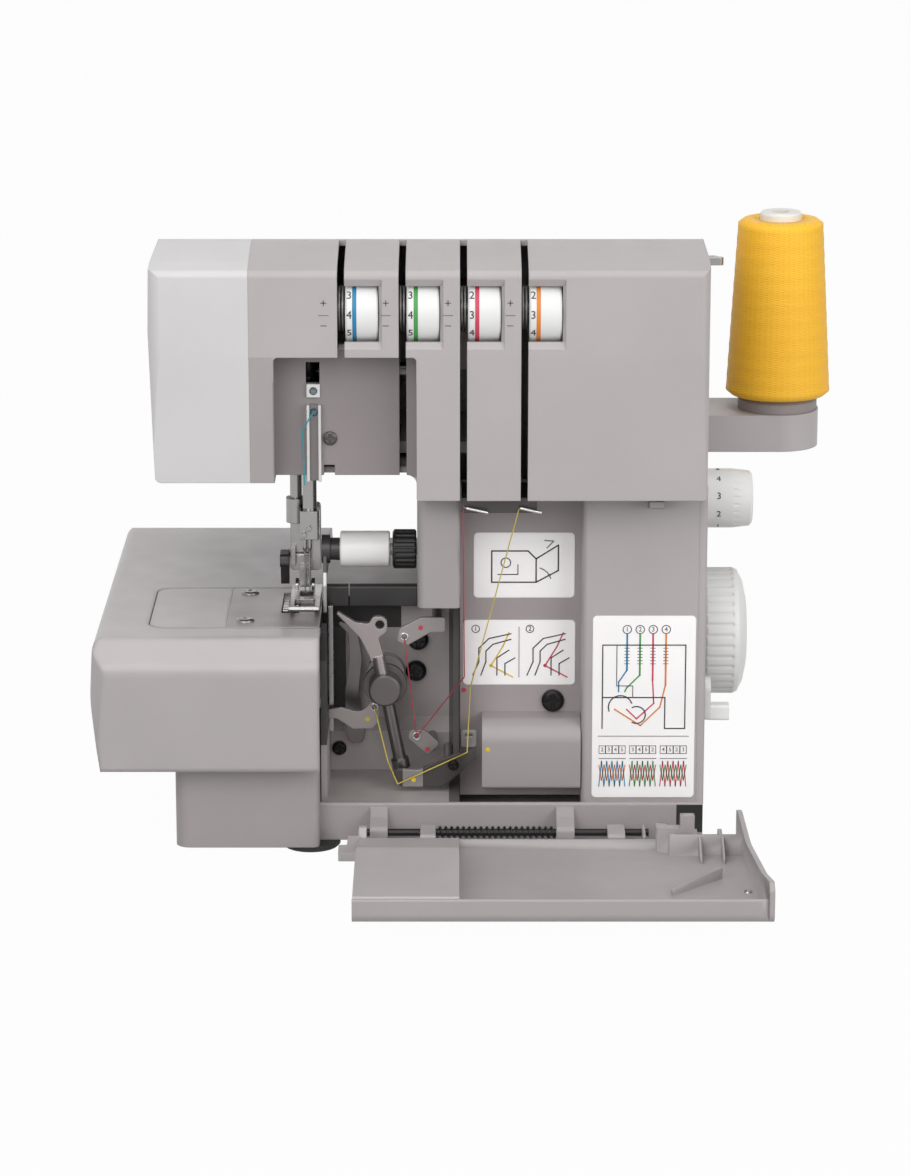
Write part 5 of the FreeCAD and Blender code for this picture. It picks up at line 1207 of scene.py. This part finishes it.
@dataclass
class CoverDetails:
    """Shell of the looper cover with a flush outer skin, and its stiffening ribs and stop screw."""

    body: str = "looper_cover"
    skin_rear: tuple[float, float] = (-14.5, 5.0)
    skin_front: tuple[float, float] = (-160.0, 16.9)
    sharp: float = 25.0
    rib_xs: tuple[float, ...] = (118.0, 129.0)
    rib_thickness: float = 1.2
    rib_rear_y: float = -42.05
    rib_front_y: float = -58.0
    rib_top_z: float = 19.6
    rib_foot_z: float = 9.4
    rib_fall: float = 0.62
    rib_edge: float = 0.25
    rib_edge_segments: int = 2
    screw_place: Triple = (136.6, -112.0, 14.6)
    screw_radius: float = 2.3
    screw_taper: float = 0.72
    screw_height: float = 1.6
    screw_flats: int = 28
    socket_rim: float = 0.9
    socket_depth: float = 0.5

    def build(self) -> None:
        """Builds the shell, the ribs and the screw."""
        self._shell()
        for number, x in enumerate(self.rib_xs):
            self._rib(number, x)
        self._screw()

    def _shell(self) -> None:
        """Builds the cover with the feet of its inner ribs drawn back to the outer skin."""
        mesh = merged_copy("looper_cover")
        rear = DRAWING.at(0, *self.skin_rear)
        along = DRAWING.at(0, *self.skin_front) - rear
        outwards = along.cross(Vector((-1, 0, 0))).normalized()
        for vert in mesh.verts:
            depth = (vert.co - rear).dot(outwards)
            if depth > 0:
                vert.co -= depth * outwards
        bmesh.ops.dissolve_degenerate(mesh, dist=COPY_MERGE, edges=mesh.edges)
        piece = stand_up(mesh, "looper_cover.shell", self.body, [FINISHES["satin_cover_grey"]])
        smooth_between_edges(piece, self.sharp)
        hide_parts("looper_cover")

    def _rib(self, number: int, x: float) -> None:
        """Upright rib that falls off towards the user.

        Args:
            number: Which rib it is, from 0.
            x: Its place across the cover, on the drawing.
        """
        depth = self.rib_rear_y - self.rib_front_y
        height = self.rib_top_z - self.rib_foot_z
        middle_y = (self.rib_rear_y + self.rib_front_y) / 2
        middle_z = (self.rib_top_z + self.rib_foot_z) / 2
        middle = DRAWING.at(x, middle_y, middle_z)
        mesh = box_mesh((self.rib_thickness, depth, height), middle)
        lowered = [vert for vert in mesh.verts if vert.co.y < middle.y and vert.co.z > middle.z]
        bmesh.ops.translate(mesh, verts=lowered, vec=(0, 0, -self.rib_fall * height * MM))
        round_edges(mesh, list(mesh.edges), self.rib_edge, self.rib_edge_segments)
        stand_up(mesh, "cover_rib_%d" % number, self.body, [FINISHES["satin_cover_grey"]])

    def _screw(self) -> None:
        """Bright pan head with a round socket."""
        half = Vector((0, 0, self.screw_height * MM / 2))
        place = Matrix.Translation(DRAWING.at(*self.screw_place) + half)
        narrow = self.screw_taper * self.screw_radius
        mesh = round_mesh(self.screw_radius, narrow, self.screw_height, self.screw_flats, place)
        top = max(mesh.faces, key=lambda face: face.calc_center_median().z)
        bmesh.ops.inset_individual(
            mesh, faces=[top], thickness=self.socket_rim * MM, depth=-self.socket_depth * MM
        )
        stand_up(mesh, "cover_screw", self.body, [FINISHES["ground_steel"]])


@dataclass
class StitchDialPrint:
    """Figures round the stitch length dial."""

    node: str = "stitch_length_dial"
    axis_y: float = 100.0
    axis_z: float = 152.7
    radius: float = 15.0

    def build(self) -> None:
        """Builds the figures, rising from the lowest at the foot."""
        DrumPrint(
            node=self.node, axis_y=self.axis_y, axis_z=self.axis_z, radius=self.radius,
            figures_x=20.0, figure_height=3.4, step=-36.0, rest_value=3, values=range(1, 6), turn=17.0,
        ).build()


@dataclass
class ThreadCone:
    """Cone of wound thread with soft shoulders, on its plastic core."""

    body: str = "thread_cone"
    low_radius: float = 27.5
    top_radius: float = 22.2
    core_radius: float = 11.0
    pin_clearance: float = 4.3
    shoulder: float = 2.4
    layers: int = 46
    flats: int = 96
    swell: float = 0.1
    gap: float = 0.05
    foot: float = 1.0
    neck: float = 4.0
    rim: float = 1.0
    colour: Colour = (255, 200, 44)
    shade: Colour = (252, 180, 36)

    def build(self) -> None:
        """Builds the wound package and its core."""
        low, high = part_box("thread_cone")
        centre = (low + high) / 2
        finish = WoundThread("wound_yellow_thread", self.colour, self.shade, centre.x, centre.y)
        outline = self._package_outline(low.z + self.foot * MM, high.z - self.neck * MM)
        package = self._lathe(outline, centre)
        piece = stand_up(package, "thread_cone.package", self.body, [finish])
        shade_smooth(piece)
        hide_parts("thread_cone")
        core = self._lathe(self._core_outline(low.z, high.z), centre)
        stand_up(core, "thread_cone.core", self.body, [FINISHES["cone_core_plastic"]])

    def _core_outline(self, base: float, top: float) -> list[tuple[float, float]]:
        """Half section of the core: a tube with its outer edges taken off.

        Args:
            base: Height of its foot, in the frame.
            top: Height of its top, in the frame.

        Returns:
            Radius and height of each corner.
        """
        bore = self.pin_clearance * MM
        outer = (self.core_radius - self.gap) * MM
        narrow = (self.core_radius - self.rim) * MM
        rim = self.rim * MM
        foot = [(bore, base), (narrow, base), (outer, base + rim)]
        neck = [(outer, top - rim), (narrow, top), (bore, top)]
        return foot + neck

    def _package_outline(self, base: float, top: float) -> list[tuple[float, float]]:
        """Half section of the wound thread: soft shoulders and a faint swell at each layer.

        Args:
            base: Height of its foot, in the frame.
            top: Height of its top, in the frame.

        Returns:
            Radius and height of each corner.
        """
        side = []
        for layer in range(self.layers + 1):
            share = layer / self.layers
            radius = self.low_radius + (self.top_radius - self.low_radius) * share
            swell = self.swell * math.sin(layer * math.pi / 2)
            reach = base + (top - base) * share
            edge = min(share, 1 - share) * (top - base) / (self.shoulder * MM)
            if edge < 1:
                radius -= self.shoulder * (1 - math.sqrt(1 - (1 - edge) ** 2))
            side.append(((radius + swell - self.swell) * MM, reach))
        inner = (self.core_radius + self.gap) * MM
        return [(inner, base)] + side + [(inner, top)]

    def _lathe(self, outline: Sequence[tuple[float, float]], centre: Vector) -> Mesh:
        """Closed outline of radius and height, spun about the cone's axis."""
        corners = [Vector((centre.x + radius, centre.y, height)) for radius, height in outline]
        return turned_mesh(corners, Vector((centre.x, centre.y, 0)), Vector((0, 0, 1)), self.flats)


@dataclass(frozen=True)
class SoftLamp:
    """Square lamp that faces the machine's middle, in metres and watts."""

    name: str
    place: Triple
    size: float
    power: float
    aim: Triple = (0.0, 0.0, 0.14)

    def build(self) -> None:
        """Hangs the lamp."""
        data = bpy.data.lights.new(self.name, "AREA")
        data.shape = "SQUARE"
        data.size = self.size
        data.energy = self.power
        lamp = linked(self.name, data)
        lamp.location = self.place
        aim = Vector(self.aim) - Vector(self.place)
        lamp.rotation_euler = aim.to_track_quat("-Z", "Y").to_euler()


@dataclass
class Studio:
    """Pale floor, white surround, soft lamps and the camera."""

    pitch: float = 15.0
    distance: float = 2000.0
    target_z: float = 132.2
    lens: float = 126.24
    sensor: float = 36.0
    sight: float = 100.0
    surround_light: float = 0.36
    floor_size: float = 12.0
    floor_drop: float = 0.2
    floor_grey: float = 0.5
    floor_glow: float = 0.97
    lamps: tuple[SoftLamp, ...] = (
        SoftLamp("key_lamp", (-0.8, -2.0, 1.3), 1.6, 27.0),
        SoftLamp("fill_lamp", (1.6, -1.4, 0.9), 1.4, 19.0),
        SoftLamp("top_lamp", (0.0, -0.5, 2.2), 1.6, 13.0),
    )

    def build(self) -> None:
        """Sets up everything round the machine."""
        bpy.context.scene.view_settings.view_transform = "Standard"
        self._camera()
        self._world()
        self._floor()
        for lamp in self.lamps:
            lamp.build()

    def _camera(self) -> None:
        """Camera at the photograph's angle."""
        data = bpy.data.cameras.new("camera")
        data.lens = self.lens
        data.sensor_width = self.sensor
        data.sensor_fit = "AUTO"
        data.dof.use_dof = False
        data.clip_end = self.sight
        camera = linked("camera", data)
        pitch = math.radians(self.pitch)
        back = self.distance * math.cos(pitch)
        camera.location = DRAWING.at(0, -back, self.target_z + self.distance * math.sin(pitch))
        camera.rotation_euler = (math.pi / 2 - pitch, 0, 0)
        bpy.context.scene.camera = camera

    def _world(self) -> None:
        """White surround with softer light from it."""
        world = bpy.data.worlds.new("surround")
        bpy.context.scene.world = world
        world.use_nodes = True
        sheet = NodeSheet(world.node_tree)
        seen = sheet.add("ShaderNodeBackground", {"Color": FULL_WHITE})
        light = sheet.add("ShaderNodeBackground", {"Color": FULL_WHITE, "Strength": self.surround_light})
        sheet.mix("ShaderNodeOutputWorld", sheet.seen_directly(), light, seen)

    def _floor(self) -> None:
        """Pale floor that keeps a light shadow under the machine."""
        mesh = bmesh.new()
        bmesh.ops.create_grid(mesh, x_segments=1, y_segments=1, size=self.floor_size / 2)
        data = bpy.data.meshes.new("floor")
        mesh.to_mesh(data)
        mesh.free()
        floor = linked("floor", data)
        floor.location.z = -self.floor_drop * MM
        material = bpy.data.materials.new("pale_floor")
        material.use_nodes = True
        sheet = NodeSheet(material.node_tree)
        matt = sheet.add("ShaderNodeBsdfDiffuse", {"Color": (self.floor_grey,) * 3 + (1,)})
        glow = sheet.add("ShaderNodeEmission", {"Strength": 1.0})
        share = sheet.sum("MULTIPLY", sheet.seen_directly(), self.floor_glow)
        sheet.mix("ShaderNodeOutputMaterial", share, matt, glow)
        data.materials.append(material)


def main() -> None:
    """Dresses the frame and builds every detail."""
    logging.basicConfig(level=logging.INFO, format="%(message)s")
    Studio().build()
    dress_frame()
    assemblies = (
        TensionDials(),
        StitchDialPrint(),
        Charts(),
        GuideDots(),
        GuideEyelets(),
        PresserSpring(),
        CoverDetails(),
        ThreadCone(),
    )
    for assembly in assemblies:
        assembly.build()


if __name__ == "__main__":
    main()
